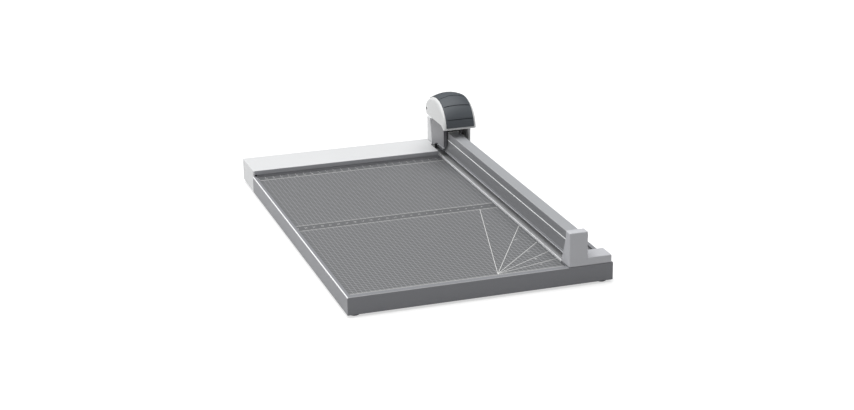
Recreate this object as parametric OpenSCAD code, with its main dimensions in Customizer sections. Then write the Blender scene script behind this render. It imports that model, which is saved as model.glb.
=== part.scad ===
// Rotary paper trimmer: a metal table with a raised guide rail, a clamp strip under the
// rail, and a carriage whose head is pressed down to bring a round blade to the table.
// The origin is at the centre of the box, on the surface that the feet stand on.
// X is across the table, Y runs back along the rail and Z is up.

/* [Base] */
// Width of the base frame
base_w = 306.6; // [290:0.1:340]
// Length of the base frame
base_l = 486; // [420:1:560]
// Height of the base frame, without feet
base_h = 20.5; // [18:0.5:26]
// Width of the side rims
rim_w = 4.5; // [3:0.5:7]
// Width of the front rim
front_rim_w = 7.2; // [5:0.1:10]
// Thickness of the deck under the table plate
deck_t = 2.5; // [2:0.5:4]
// Thickness of the printed table plate
mat_t = 1.5; // [1:0.5:2]
// Depth of the table surface below the rims
mat_drop = 1.5; // [1:0.1:2]
// Gap around the table plate
mat_gap = 0.9; // [0.5:0.1:1.5]
// Thickness of the bottom cover
bottom_t = 1.5; // [1:0.5:2.5]
// Distance of the cutting line from the right edge of the base
cut_inset = 51.1; // [46:0.1:60]

/* [Feet] */
// Diameter of a foot
foot_d = 12; // [10:0.5:13]
// Height of a foot below the base frame
foot_h = 3; // [2:0.5:5]
// Distance of a foot's centre from the nearest edges
foot_inset = 10; // [9.5:0.5:15]

/* [Back bar] */
// Length of the back bar along Y
bar_l = 56.6; // [48:0.1:64]
// Height of the back bar above the rims
bar_h = 7.9; // [6:0.1:10]
// Wall of the back bar's cover
bar_wall = 2.2; // [1.6:0.1:3]
// Space between the bar's end and the cutting line
bar_cut_gap = 5; // [4.7:0.1:7]
// Thickness of the stop rail's upper lip
stop_t = 2.6; // [2.2:0.1:3.6]
// Height of the stop rail's lower, recessed face
stop_low_h = 3.6; // [2.5:0.1:4.5]
// Depth of that recess
stop_recess = 1.2; // [0.6:0.1:1.6]

/* [Cutting strip] */
// Width of the steel cutting strip
strip_w = 15; // [12:0.5:18]
// Chamfer along its cutting edge
strip_chamfer = 0.3; // [0.2:0.1:0.6]

/* [Guide rail] */
// Width of the rail
rail_w = 15; // [15:0.5:16.5]
// Height of the rail
rail_h = 25.3; // [25:0.1:30]
// Wall of the rail's chambers
rail_wall = 2; // [1.6:0.1:2.2]
// Width of the blade's groove between the table plate and the strip
blade_groove = 1.7; // [1.4:0.1:2.4]
// Space between the cutting line and the rail's side
rail_cut_gap = 1.8; // [1.8:0.1:2.6]
// Height of the fine groove along the rail's left side, from its underside
rail_line_h = 15.3; // [13:0.1:18]
// Width of that groove
rail_line_w = 1.4; // [1:0.1:2]
// Depth of that groove
rail_line_depth = 0.7; // [0.4:0.1:1]
// Chamfer along the rail's top edges
rail_chamfer = 0.6; // [0.3:0.1:1]

/* [Clamp] */
// Height of the paper gap under the clamp strip at rest
clamp_gap = 7.4; // [7.4:0.1:9]
// Thickness of the clamp strip
clamp_t = 3.9; // [3.4:0.1:5]
// Width of the clamp strip
clamp_w = 12.4; // [11:0.1:13]
// Depth of the channel along its edge
clamp_channel = 0.5; // [0.3:0.1:0.8]
// Reach of the clamp strip's flange beyond the rail's right side
clamp_flange = 8; // [6:0.1:9]
// Thickness of that flange
clamp_flange_t = 1.4; // [1.2:0.1:2]
// Diameter of a clamp pin
clamp_pin_d = 3; // [3:0.5:4]

/* [Press] */
// Distance that the head and the clamp strip travel down
press_travel = 6.8; // [6:0.1:6.8]

/* [Brackets] */
// Wall of a bracket beside the rail
bracket_wall = 3.5; // [3:0.1:5]
// Wall of a bracket above the rail
bracket_top = 3.3; // [2.6:0.1:4]
// Length of a bracket at its top
bracket_top_l = 11.8; // [11:0.1:14]
// Length of a bracket at its foot
bracket_foot_l = 23.5; // [22:0.1:26]
// Height of a bracket's low step above the rim
step_h = 9.4; // [8:0.1:9.4]
// Distance of the low step from the right edge of the base
step_inset = 1.7; // [1:0.1:4]
// Chamfer of a bracket's outer edges
bracket_chamfer = 1.4; // [0.8:0.1:2]

/* [Blade] */
// Diameter of the round blade
blade_d = 45; // [45:0.5:46]
// Thickness of the blade
blade_t = 0.5; // [0.4:0.1:0.6]
// Width of the blade's bevel
blade_bevel = 2; // [1:0.1:3]
// Depth of the blade below the strip's top when pressed
blade_dip = 1; // [0.6:0.1:1]
// Diameter of the blade's axle
axle_d = 4; // [3:0.5:5]
// Diameter of the hub's core
hub_d = 8; // [7:0.5:9]

/* [Carriage] */
// Distance of the blade's axle from the back of the base, with the carriage parked
park_back = 49.7; // [49:0.1:54]
// Length of the saddle in front of the blade's axle
saddle_front = 26; // [24.5:0.1:27.5]
// Length of the saddle behind the blade's axle
saddle_back = 21.5; // [20:0.1:22]
// Wall of the saddle
saddle_wall = 3.6; // [3:0.1:4.5]
// Diameter of a guide roller
roller_d = 9.4; // [8.6:0.1:9.6]
// Width of a guide roller
roller_w = 5; // [4:0.1:5.5]
// Distance of a guide roller from the middle of the saddle
roller_reach = 15; // [13:0.5:16]
// Thickness of the slide liner on the rail's top
liner_t = 1.2; // [1:0.1:1.6]
// Diameter of a guide post
post_d = 5; // [4:0.5:6]

/* [Head] */
// Width of the head
head_w = 44; // [43.5:0.1:45]
// Length of the head in front of its highest line
head_front_l = 38; // [36:0.1:40]
// Length of the head behind its highest line
head_back_l = 39; // [38:0.1:40]
// Height of the head's shells at the front
head_h = 38; // [36:0.1:40]
// Height of the highest line above its rear shoulder
head_rear_h = 27; // [26:0.1:29]
// Depth of the crown across the head
head_crown = 6.4; // [4:0.1:7]
// Bow of the head's front and back edges, seen from above
head_bow = 0.5; // [0.3:0.1:1]
// Radius of the head's side edges
head_edge_r = 2.6; // [2:0.1:3.2]
// Distance of the head's highest line in front of the blade's axle
head_top_y = 14.3; // [12:0.1:15]
// Height of the head's front tip above the rail
head_lift = 11.6; // [11.4:0.1:13]
// Step between the front tip and the shells' lower edge
head_step = 4; // [3:0.1:5]
// Wall of the head's shells
head_wall = 3.2; // [2.8:0.1:3.6]
// Width of the grip pad
pad_w = 37.6; // [35:0.1:38.4]
// Depth of the pad's seat in the shells
pad_seat = 1.4; // [1:0.1:1.6]
// Height of the pad above the shells
pad_proud = 0.7; // [0.3:0.1:1]
// Number of grooves across the pad
pad_grooves = 4; // [2:1:6]
// Width of a groove
groove_w = 1.3; // [0.8:0.1:2]
// Height of the shells' lip below the pad
pad_lip = 2.6; // [2:0.1:4]
// Thickness of the right shell's skirt
skirt_t = 3.6; // [3:0.1:4.4]

/* [Fasteners] */
// Thread diameter of the small screws
screw_d = 3; // [2.5:0.5:3.5]
// Head diameter of the small screws
screw_head_d = 5.6; // [5:0.1:6.5]
// Head height of the small screws
screw_head_h = 2; // [1.6:0.1:2.4]

/* [Hidden] */
// Overrun of every cut
over = 1;
// Clearance of shafts in their bores, on the radius
run_fit = 0.06;
// Clearance of sliding faces
slide_fit = 0.05;
// Clearance between parts that pass each other
pass_gap = 0.3;
$fn = 48;

// Levels
z_base = foot_h;
z_rim = z_base + base_h;
z_mat = z_rim - mat_drop;
z_deck = z_mat - mat_t;
z_under = z_deck - deck_t;
z_bar = z_rim + bar_h;
z_clamp = z_rim + clamp_gap;
z_rail = z_clamp + clamp_t + pass_gap;
z_rail_top = z_rail + rail_h;
z_bracket = z_rail_top + bracket_top;
z_step = z_rim + step_h;

// Places across
x_left = -base_w / 2;
x_right = base_w / 2;
x_cut = x_right - cut_inset;
x_rail = x_cut + rail_cut_gap;
x_rail_right = x_rail + rail_w;
x_rail_mid = x_rail + rail_w / 2;
x_bracket = x_rail - bracket_wall;
bracket_w = rail_w + 2 * bracket_wall;
x_step_right = x_right - step_inset;
x_bar_end = x_cut - bar_cut_gap;
x_strip_right = x_cut + strip_w;
x_bar_back = x_bracket - slide_fit;

// Places along
y_front = -base_l / 2;
y_back = base_l / 2;
y_bar = y_back - bar_l;
y_blade = y_back - park_back;
y_strip_front = y_front + bracket_foot_l + pass_gap;
y_strip_back = y_back - bracket_foot_l - pass_gap;
strip_l = y_strip_back - y_strip_front;

// A post's inner edge: share of its height, and share of its flare towards the foot
post_h = z_bracket - z_rim;
post_flare = bracket_foot_l - bracket_top_l;
flare_shares = [[0, 1], [0.05, 1], [0.4, 0.62], [0.74, 0.16], [0.84, 0]];
post_reach = [for (s = flare_shares) [z_rim + s[0] * post_h, bracket_top_l + s[1] * post_flare]];

// Blade and its housing
blade_r = blade_d / 2;
z_blade = z_rim - blade_dip + press_travel + blade_r;
x_blade = x_cut - pass_gap - blade_t;
hub_flange_d = hub_d * 1.6;
hub_flange_t = blade_t * 1.4;
housing_wall = 1.2;
housing_gap = 0.6;
housing_half = blade_r + housing_gap + housing_wall;
housing_plate = 2.2;
x_housing = x_blade - hub_flange_t - slide_fit * 2 - housing_plate;
x_housing_right = x_blade + blade_t + hub_flange_t + pass_gap / 2;
// The housing's lower edge: share of its half length, and depth below the blade's axle
// as a share of the blade's radius
housing_low_shares = [[-1, -0.5], [0.16, -0.56], [0.62, -0.8], [1, -0.86]];
housing_rise = blade_r * 0.62;

// Rail channel and rollers
roller_gap = pass_gap;
channel_h = roller_d + 2 * roller_gap;
channel_slot_h = axle_d + 2 * over;
channel_wall = 2.8;
z_channel = z_rail + rail_h * 0.51;
chamber_h = (rail_h - channel_h) / 2 - rail_wall * 1.9;

// Saddle
saddle_gap = 1;
x_saddle = x_rail_right + saddle_gap;
z_saddle = z_rail_top + slide_fit + liner_t;
saddle_top = 3.4;
z_saddle_top = z_saddle + saddle_top;
saddle_rise = 4;
saddle_low = z_rail + saddle_rise;
y_saddle_front = y_blade - saddle_front;
y_saddle_back = y_blade + saddle_back;
y_saddle_mid = (y_saddle_front + y_saddle_back) / 2;
buffer_t = 1.6;
buffer_h = 5;

// Head
x_head = x_rail_mid;
y_head_top = y_blade - head_top_y;
z_head_low = z_rail_top + head_lift;
z_head_edge = z_head_low + head_step;
z_head_top = z_head_low + head_h;
z_rear = z_head_top - head_rear_h;
y_head_front = y_head_top - head_front_l;
y_head_rear = y_head_top + head_back_l;
rear_round = z_rear - z_head_edge;
chin_l = 13;
outline_steps = 14;
// Places of the crown's slabs, as shares of half the head's width
crown_shares = [0.2, 0.38, 0.54, 0.68, 0.8];
edge_step = 30;
x_skirt_out = x_head + head_w / 2;
skirt_clear = 1.8;
z_skirt = z_step + press_travel + skirt_clear;
skirt_reach = 4.5;
y_skirt_front = y_saddle_front - skirt_reach;

// Shoe on the skirt that pushes the clamp strip's flange down
shoe_gap = pass_gap / 2;
x_shoe = x_rail_right + saddle_gap * 2;
x_shoe_wall = x_saddle + saddle_wall + pass_gap * 2;
x_skirt_in = x_skirt_out - skirt_t;
z_shoe = z_clamp + clamp_t + shoe_gap;
shoe_rise = 12;
shoe_end_inset = 8;
shoe_screw_inset = 6;
shoe_screw_places = [y_saddle_front + shoe_end_inset + shoe_screw_inset,
                     y_saddle_back - shoe_end_inset - shoe_screw_inset];
z_shoe_screw = z_skirt + shoe_rise / 2;

// Guide posts and the frame that slides on them
post_front = 20;
post_back = 6;
post_places = [y_blade - post_front, y_blade + post_back];
sleeve_h = 7;
sleeve_d = post_d * 2;
spring_solid = 6.2;
spring_space = press_travel + spring_solid;
z_sleeve = z_saddle_top + spring_space;
z_frame_top = z_sleeve + sleeve_h;
clip_t = 1;
post_tip = 1.6;
z_post_top = z_frame_top + clip_t + post_tip;
frame_t = 4;
frame_half_w = 6.5;
spring_wire = 0.8;
boss_d = 7;
boss_front = 29;
boss_back = 12;
// Half the length of the tab that joins the housing to the frame's flange, clear of the boss
tab_half = boss_back - boss_d / 2 - pass_gap * 2;
z_boss = z_sleeve + boss_d / 2;
boss_places = [[y_blade - boss_front, z_boss], [y_blade + boss_back, z_boss]];

// Clamp pins and springs
pin_from_end = 11.5;
pin_places = [y_front + pin_from_end, y_back - pin_from_end];
clamp_end_gap = 5;
pin_grip = 4;
z_spring_seat = z_base + bottom_t + pin_grip;
clamp_spring_wire = 1.4;
clamp_spring_d = clamp_pin_d + 2 * (pass_gap + clamp_spring_wire);
spring_bore_d = clamp_spring_d + 2 * pass_gap;
spring_boss_wall = 2.6;
spring_boss_d = spring_bore_d + 2 * spring_boss_wall;

// Screws
screw_bite = 7;
foot_boss_d = 9;
// Each bracket's two screws, as X and the distance from the bracket's outer end
step_screw_side = 4.5;
step_screw_inset = bar_wall + rim_w + screw_head_d / 2 + pass_gap;
step_screw_back = 3.5;
x_step_screw = x_right - foot_inset - (foot_boss_d + screw_head_d) / 2 - pass_gap * 2;
step_screws = [[x_bracket + bracket_w + step_screw_side, step_screw_inset],
               [x_step_screw, bracket_foot_l - step_screw_back]];
strip_screw_shares = [0.06, 0.36, 0.66, 0.96];
strip_screw_places = [for (s = strip_screw_shares) y_strip_front + s * strip_l];
bar_screw_shares = [0.08, 0.5, 0.92];
bar_screw_places = [for (s = bar_screw_shares) x_left + rim_w + s * (x_bar_end - x_left - rim_w)];
rail_screw_rise = 4.6;
rail_screw_inset = 6.5;

// A box from one corner to the opposite one
module span(low, high) {
  translate(low) cube(high - low);
}

// A cylinder along X or Z, from its start
module rod_x(d, len) { rotate([0, 90, 0]) cylinder(d = d, h = len); }
module rod_z(d, len) { cylinder(d = d, h = len); }

// A screw that points up, its head's underside at the origin
module screw(len) {
  rod_z(screw_d, len);
  translate([0, 0, -screw_head_h]) rod_z(screw_head_d, screw_head_h);
}

// A closed coil sleeve between two levels
module coil_sleeve(outer_d, inner_d, low, high) {
  translate([0, 0, low]) difference() {
    rod_z(outer_d, high - low);
    translate([0, 0, -over]) rod_z(inner_d, high - low + 2 * over);
  }
}

foot_x = [x_left + foot_inset, x_right - foot_inset];
foot_y = [y_front + foot_inset, y_back - foot_inset];

module base_frame() {
  x_in = x_left + bar_wall;
  y_in = y_back - bar_wall;
  color([0.45, 0.46, 0.48]) difference() {
    union() {
      difference() {
        span([x_left, y_front, z_base], [x_right, y_back, z_rim]);
        // The back cover wraps the left and back walls
        span([x_left - over, y_bar, z_base - over], [x_in, y_back + over, z_rim + over]);
        span([x_left - over, y_in, z_base - over], [x_bar_back, y_back + over, z_rim + over]);
        // Table recess, up to the seats of the brackets
        span([x_left + rim_w, y_front + front_rim_w, z_deck], [x_bracket, y_in - rim_w, z_rim + over]);
        span([x_bracket - over, y_front + bracket_foot_l, z_deck],
             [x_right - rim_w, y_back - bracket_foot_l, z_rim + over]);
        // Underside
        span([x_left + rim_w, y_front + rim_w, z_base - over], [x_right - rim_w, y_in - rim_w, z_under]);
      }
      for (x = foot_x, y = foot_y) translate([x, y, z_base + bottom_t]) rod_z(foot_boss_d, z_deck - z_base - bottom_t);
      for (y = pin_places) translate([x_rail_mid, y, z_base + bottom_t]) rod_z(spring_boss_d, z_deck - z_base - bottom_t);
    }
    for (x = foot_x, y = foot_y) translate([x, y, z_base - over]) rod_z(screw_d, bottom_t + screw_bite + over);
    for (y = pin_places) {
      translate([x_rail_mid, y, z_spring_seat]) rod_z(spring_bore_d, z_rim);
      translate([x_rail_mid, y, z_base + bottom_t - over]) rod_z(clamp_pin_d, z_rim);
    }
    for (p = step_screws, y = [y_front + p[1], y_back - p[1]]) translate([p[0], y, z_base]) rod_z(screw_d, z_rim);
    for (y = strip_screw_places) translate([x_cut + strip_w / 2, y, z_base]) rod_z(screw_d, z_rim);
    for (x = bar_screw_places) translate([x, y_bar + bar_l / 2, z_base]) rod_z(screw_d, z_rim);
  }
}

module table_plate() {
  color([0.53, 0.53, 0.54]) difference() {
    span([x_left + rim_w + mat_gap, y_front + front_rim_w + mat_gap, z_deck],
         [x_cut - blade_groove, y_bar + stop_recess, z_mat]);
    // Room for the front bracket's foot
    span([x_bracket - pass_gap, y_front, z_deck - over],
         [x_cut + over, y_front + bracket_foot_l + pass_gap, z_mat + over]);
  }
}

module offcut_plate() {
  color([0.53, 0.53, 0.54])
    span([x_strip_right + pass_gap, y_front + bracket_foot_l + pass_gap, z_deck],
         [x_right - rim_w - mat_gap, y_back - bracket_foot_l - pass_gap, z_mat]);
}

module bottom_cover() {
  edge = rim_w + pass_gap;
  color([0.3, 0.3, 0.32]) difference() {
    span([x_left + edge, y_front + edge, z_base], [x_right - edge, y_back - bar_wall - edge, z_base + bottom_t]);
    for (x = foot_x, y = foot_y) translate([x, y, z_base - over]) rod_z(screw_d, bottom_t + 2 * over);
  }
}

foot_recess = foot_h * 0.5;

module rubber_feet() {
  color([0.06, 0.06, 0.06]) for (x = foot_x, y = foot_y) translate([x, y, 0]) difference() {
    rod_z(foot_d, foot_h);
    translate([0, 0, -over]) rod_z(screw_head_d, foot_recess + over);
    rod_z(screw_d, foot_h + over);
  }
}

module foot_screws() {
  head_h = foot_recess * 0.8;
  color([0.6, 0.6, 0.6]) for (x = foot_x, y = foot_y) translate([x, y, foot_recess - head_h]) {
    rod_z(screw_head_d, head_h);
    rod_z(screw_d, head_h + foot_h - foot_recess + bottom_t + screw_bite);
  }
}

bar_boss_d = 8;

module back_cover() {
  x_in = x_left + bar_wall;
  color([0.93, 0.93, 0.94]) difference() {
    union() {
      difference() {
        union() {
          span([x_left, y_bar, z_base], [x_bar_end, y_back, z_bar]);
          span([x_left, y_back - bracket_foot_l, z_base], [x_bar_back, y_back, z_bar]);
        }
        // Hollow over the frame, open below
        span([x_in, y_bar + stop_t, z_rim - over], [x_bar_end - bar_wall, y_back - bar_wall, z_bar - bar_wall]);
        span([x_in, y_bar - over, z_base - over], [x_bracket + over, y_back - bar_wall, z_rim]);
        // Seat of the stop rail
        span([x_in, y_bar - over, z_mat - over], [x_bar_end + over, y_bar + stop_t, z_bar - bar_wall / 4]);
      }
      for (x = bar_screw_places) translate([x, y_bar + bar_l / 2, z_rim - mat_drop - mat_t])
        rod_z(bar_boss_d, z_bar - z_rim + mat_drop + mat_t - bar_wall / 2);
    }
    for (x = bar_screw_places) translate([x, y_bar + bar_l / 2, z_deck - over]) rod_z(screw_d, screw_bite + over);
  }
}

module stop_rail() {
  color([0.42, 0.42, 0.44]) {
    span([x_left + bar_wall, y_bar, z_mat + stop_low_h], [x_bar_end, y_bar + stop_t, z_bar - bar_wall / 4]);
    span([x_left + rim_w + mat_gap, y_bar + stop_recess, z_deck], [x_bar_end, y_bar + stop_t, z_mat + stop_low_h]);
  }
}

module back_cover_screws() {
  color([0.6, 0.6, 0.6]) for (x = bar_screw_places) translate([x, y_bar + bar_l / 2, z_under]) screw(deck_t + screw_bite);
}

module cutting_strip() {
  color([0.72, 0.72, 0.74]) difference() {
    translate([0, y_strip_back, 0]) rotate([90, 0, 0]) linear_extrude(strip_l)
      polygon([[x_cut, z_deck], [x_strip_right, z_deck], [x_strip_right, z_rim],
               [x_cut + strip_chamfer, z_rim], [x_cut, z_rim - strip_chamfer]]);
    for (y = strip_screw_places) translate([x_cut + strip_w / 2, y, z_deck - over]) rod_z(screw_d, mat_t + over);
  }
}

module strip_screws() {
  color([0.6, 0.6, 0.6]) for (y = strip_screw_places)
    translate([x_cut + strip_w / 2, y, z_under]) screw(deck_t + mat_t);
}

// Outline of the rail's section, seen along Y
module rail_section() {
  z_line = z_rail + rail_line_h;
  difference() {
    polygon([[x_rail, z_rail], [x_rail_right, z_rail], [x_rail_right, z_rail_top - rail_chamfer],
             [x_rail_right - rail_chamfer, z_rail_top], [x_rail + rail_chamfer, z_rail_top],
             [x_rail, z_rail_top - rail_chamfer],
             [x_rail, z_line + rail_line_w / 2], [x_rail + rail_line_depth, z_line],
             [x_rail, z_line - rail_line_w / 2]]);
    // Roller channel, open to the right through a slot
    translate([x_rail + channel_wall, z_channel - channel_h / 2])
      square([rail_w - channel_wall - rail_wall, channel_h]);
    translate([x_rail_right - rail_wall - over, z_channel - channel_slot_h / 2])
      square([rail_wall + 2 * over, channel_slot_h]);
    // Closed chambers below and above it
    translate([x_rail + rail_wall, z_rail + rail_wall]) square([rail_w - 2 * rail_wall, chamber_h]);
    translate([x_rail + rail_wall, z_rail_top - rail_wall - chamber_h])
      square([rail_w - 2 * rail_wall, chamber_h]);
  }
}

rail_end_wall = 3;

module guide_rail() {
  rail_l = base_l - 2 * rail_end_wall;
  color([0.7, 0.71, 0.72]) difference() {
    translate([0, y_back - rail_end_wall, 0]) rotate([90, 0, 0]) linear_extrude(rail_l) rail_section();
    rail_screw_holes();
  }
}

module rail_screw_holes() {
  for (y = [y_front + rail_screw_inset, y_back - rail_screw_inset],
       z = [z_rail + rail_screw_rise, z_rail_top - rail_screw_rise])
    translate([x_rail_right - rail_wall - over, y, z]) rod_x(screw_d, rail_wall + bracket_wall + 2 * over);
}

// Side outline of a bracket's post, from its outer end
module post_outline() {
  polygon(concat([[0, 0]], [for (p = post_reach) [p[1], p[0] - z_rim]],
                 [[bracket_top_l, post_h - bracket_chamfer], [bracket_top_l - bracket_chamfer, post_h],
                  [bracket_chamfer, post_h], [0, post_h - bracket_chamfer]]));
}

// A bracket, with its outer end at Y 0 and its length along +Y
module bracket_form() {
  difference() {
    union() {
      translate([x_bracket, 0, z_rim]) rotate([90, 0, 90]) linear_extrude(bracket_w) post_outline();
      translate([x_bracket + bracket_w - over, 0, z_rim]) rotate([90, 0, 90])
        linear_extrude(x_step_right - x_bracket - bracket_w + over)
        polygon([[0, 0], [bracket_foot_l, 0], [bracket_foot_l, step_h - bracket_chamfer],
                 [bracket_foot_l - bracket_chamfer, step_h], [bracket_chamfer, step_h],
                 [0, step_h - bracket_chamfer]]);
    }
    // Pocket for the rail, and below it for the clamp strip's end
    span([x_rail, rail_end_wall, z_rim - over], [x_rail_right, bracket_foot_l + over, z_rail_top]);
    // Screw holes
    for (p = step_screws) translate([p[0], p[1], z_rim - over]) rod_z(screw_d, screw_bite + over);
    for (z = [z_rail + rail_screw_rise, z_rail_top - rail_screw_rise]) {
      translate([x_rail_right - over, rail_screw_inset, z]) rod_x(screw_d, bracket_wall + 2 * over);
    }
  }
}

module front_bracket() {
  color([0.65, 0.66, 0.68]) translate([0, y_front, 0]) bracket_form();
}

module back_bracket() {
  color([0.85, 0.85, 0.86]) translate([0, y_back, 0]) mirror([0, 1, 0]) bracket_form();
}

module bracket_screws() {
  color([0.6, 0.6, 0.6]) for (p = step_screws, y = [y_front + p[1], y_back - p[1]])
    translate([p[0], y, z_under]) screw(z_rim - z_under + screw_bite);
}

module rail_screws() {
  head_x = x_rail_right + bracket_wall;
  color([0.6, 0.6, 0.6]) for (y = [y_front + rail_screw_inset, y_back - rail_screw_inset],
       z = [z_rail + rail_screw_rise, z_rail_top - rail_screw_rise])
    translate([head_x, y, z]) {
      translate([-bracket_wall - rail_wall, 0, 0]) rod_x(screw_d, bracket_wall + rail_wall);
      rod_x(screw_head_d, screw_head_h);
    }
}

module clamp_pins() {
  color([0.75, 0.75, 0.76]) for (y = pin_places) translate([x_rail_mid, y, z_base + bottom_t])
    rod_z(clamp_pin_d, z_rail - pass_gap / 2 - z_base - bottom_t);
}

module clamp_spring(y) {
  color([0.5, 0.5, 0.52]) translate([x_rail_mid, y, 0])
    coil_sleeve(clamp_spring_d, clamp_pin_d + 2 * pass_gap, z_spring_seat, z_clamp);
}
module clamp_spring_front() { clamp_spring(pin_places[0]); }
module clamp_spring_back() { clamp_spring(pin_places[1]); }

x_clamp = x_rail + pass_gap;
grip_t = 0.8;
grip_inset = 1.5;

module clamp_strip() {
  clamp_l = base_l - 2 * clamp_end_gap;
  z_low = z_clamp;
  z_high = z_clamp + clamp_t;
  band = clamp_t * 0.24;
  color([0.66, 0.67, 0.69]) difference() {
    union() {
      translate([0, y_back - clamp_end_gap, 0]) rotate([90, 0, 0]) linear_extrude(clamp_l)
        polygon([[x_clamp, z_low], [x_clamp + clamp_w, z_low], [x_clamp + clamp_w, z_high],
                 [x_clamp, z_high], [x_clamp, z_high - band], [x_clamp + clamp_channel, z_high - band],
                 [x_clamp + clamp_channel, z_low + band], [x_clamp, z_low + band]]);
      // Flange between the brackets, under the shoe
      span([x_clamp + clamp_w - over, y_strip_front, z_high - clamp_flange_t],
           [x_rail_right + clamp_flange, y_strip_back, z_high]);
    }
    // Seat of the rubber grip
    span([x_clamp + grip_inset, y_strip_front, z_low - over],
         [x_clamp + clamp_w - grip_inset, y_strip_back, z_low + grip_t]);
    for (y = pin_places) translate([x_rail_mid, y, z_low - over]) rod_z(clamp_pin_d + 2 * run_fit, clamp_t + 2 * over);
  }
}

module clamp_grip() {
  color([0.15, 0.15, 0.16])
    span([x_clamp + grip_inset, y_strip_front, z_clamp],
         [x_clamp + clamp_w - grip_inset, y_strip_back, z_clamp + grip_t]);
}

roller_places = [y_saddle_mid - roller_reach, y_saddle_mid + roller_reach];
pin_flange_t = 0.9;
x_roller = x_rail_right - rail_wall - pass_gap * 2 - roller_w;
x_pin = x_roller - slide_fit * 2 - pin_flange_t;

module carriage_saddle() {
  color([0.2, 0.21, 0.23]) difference() {
    union() {
      span([x_rail, y_saddle_front, z_saddle], [x_saddle + saddle_wall, y_saddle_back, z_saddle_top]);
      span([x_saddle, y_saddle_front, saddle_low], [x_saddle + saddle_wall, y_saddle_back, z_saddle_top]);
    }
    for (y = roller_places) translate([x_saddle - over, y, z_channel]) rod_x(axle_d, saddle_wall + 2 * over);
    for (y = post_places) translate([x_head, y, z_saddle - over]) rod_z(post_d, saddle_top + 2 * over);
  }
}

module slide_liner() {
  color([0.8, 0.8, 0.78]) span([x_rail + rail_chamfer, y_saddle_front - liner_t, z_rail_top + slide_fit],
                             [x_rail_right - rail_chamfer, y_saddle_back, z_saddle]);
}

module side_liners() {
  liner_h = 4;
  color([0.8, 0.8, 0.78]) for (z = [saddle_low, z_rail_top - rail_chamfer - liner_h])
    span([x_rail_right + slide_fit, y_saddle_front, z], [x_saddle, y_saddle_back, z + liner_h]);
}

module roller_pins() {
  color([0.7, 0.7, 0.72]) for (y = roller_places) translate([x_pin, y, z_channel]) {
    rod_x(axle_d, x_saddle + saddle_wall - x_pin);
    rod_x(axle_d * 1.5, pin_flange_t);
  }
}

module guide_roller(y) {
  color([0.82, 0.82, 0.8]) translate([x_roller, y, z_channel]) difference() {
    rod_x(roller_d, roller_w);
    translate([-over, 0, 0]) rod_x(axle_d + 2 * run_fit, roller_w + 2 * over);
  }
}
module guide_roller_front() { guide_roller(roller_places[0]); }
module guide_roller_back() { guide_roller(roller_places[1]); }

module end_buffers() {
  color([0.1, 0.1, 0.1]) {
    span([x_saddle, y_saddle_front - buffer_t, saddle_low],
         [x_saddle + saddle_wall, y_saddle_front, saddle_low + buffer_h]);
    // The back one is long enough to park the carriage clear of the back bracket
    span([x_saddle, y_saddle_back, saddle_low],
         [x_saddle + saddle_wall, y_back - lookup(saddle_low, post_reach) - pass_gap, saddle_low + buffer_h]);
  }
}

module guide_posts() {
  clip_groove_d = post_d * 0.8;
  color([0.75, 0.75, 0.76]) for (y = post_places) translate([x_head, y, 0]) difference() {
    translate([0, 0, z_saddle]) rod_z(post_d, z_post_top - z_saddle);
    translate([0, 0, z_frame_top + pass_gap / 2]) difference() {
      rod_z(post_d + over, clip_t);
      rod_z(clip_groove_d, clip_t);
    }
  }
}

module post_clips() {
  clip_groove_d = post_d * 0.8;
  color([0.4, 0.4, 0.42]) for (y = post_places) translate([x_head, y, z_frame_top + pass_gap / 2])
    difference() {
      rod_z(post_d * 1.7, clip_t);
      translate([0, 0, -over]) rod_z(clip_groove_d, clip_t + 2 * over);
      span([-clip_groove_d / 2, 0, -over], [clip_groove_d / 2, post_d, clip_t + over]);
    }
}

module return_spring(y) {
  color([0.5, 0.5, 0.52]) translate([x_head, y, 0])
    coil_sleeve(post_d + 2 * (pass_gap + spring_wire), post_d + 2 * pass_gap, z_saddle_top, z_sleeve);
}
module return_spring_front() { return_spring(post_places[0]); }
module return_spring_back() { return_spring(post_places[1]); }

flange_t = 3.2;
flange_h = 8;
x_flange = x_housing + housing_plate;

module head_frame() {
  y_low = y_blade - boss_front - boss_d / 2;
  y_high = y_blade + boss_back + boss_d / 2;
  z_plate = z_frame_top - frame_t;
  color([0.25, 0.26, 0.28]) difference() {
    union() {
      span([x_head - frame_half_w, y_low, z_plate], [x_head + frame_half_w, y_high, z_frame_top]);
      for (y = post_places) translate([x_head, y, z_sleeve]) rod_z(sleeve_d, sleeve_h);
      // Ends that the covers' bosses meet
      for (p = boss_places) translate([x_head - frame_half_w, p[0], p[1]]) rod_x(boss_d, 2 * frame_half_w);
      // Flange that carries the blade housing
      span([x_flange, y_blade - tab_half, z_frame_top - flange_h], [x_flange + flange_t, y_blade + tab_half, z_frame_top]);
      span([x_flange, y_blade - tab_half, z_plate], [x_head - frame_half_w + over, y_blade + tab_half, z_frame_top]);
    }
    for (y = post_places) translate([x_head, y, z_sleeve - over]) rod_z(post_d + 2 * run_fit, sleeve_h + 2 * over);
    for (p = boss_places) translate([x_head - frame_half_w - over, p[0], p[1]]) rod_x(screw_d, 2 * frame_half_w + 2 * over);
    for (s = [-1, 1]) translate([x_flange - over, y_blade + s * tab_half / 2, z_frame_top - flange_h / 2])
      rod_x(screw_d, flange_t + 2 * over);
  }
}

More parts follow.
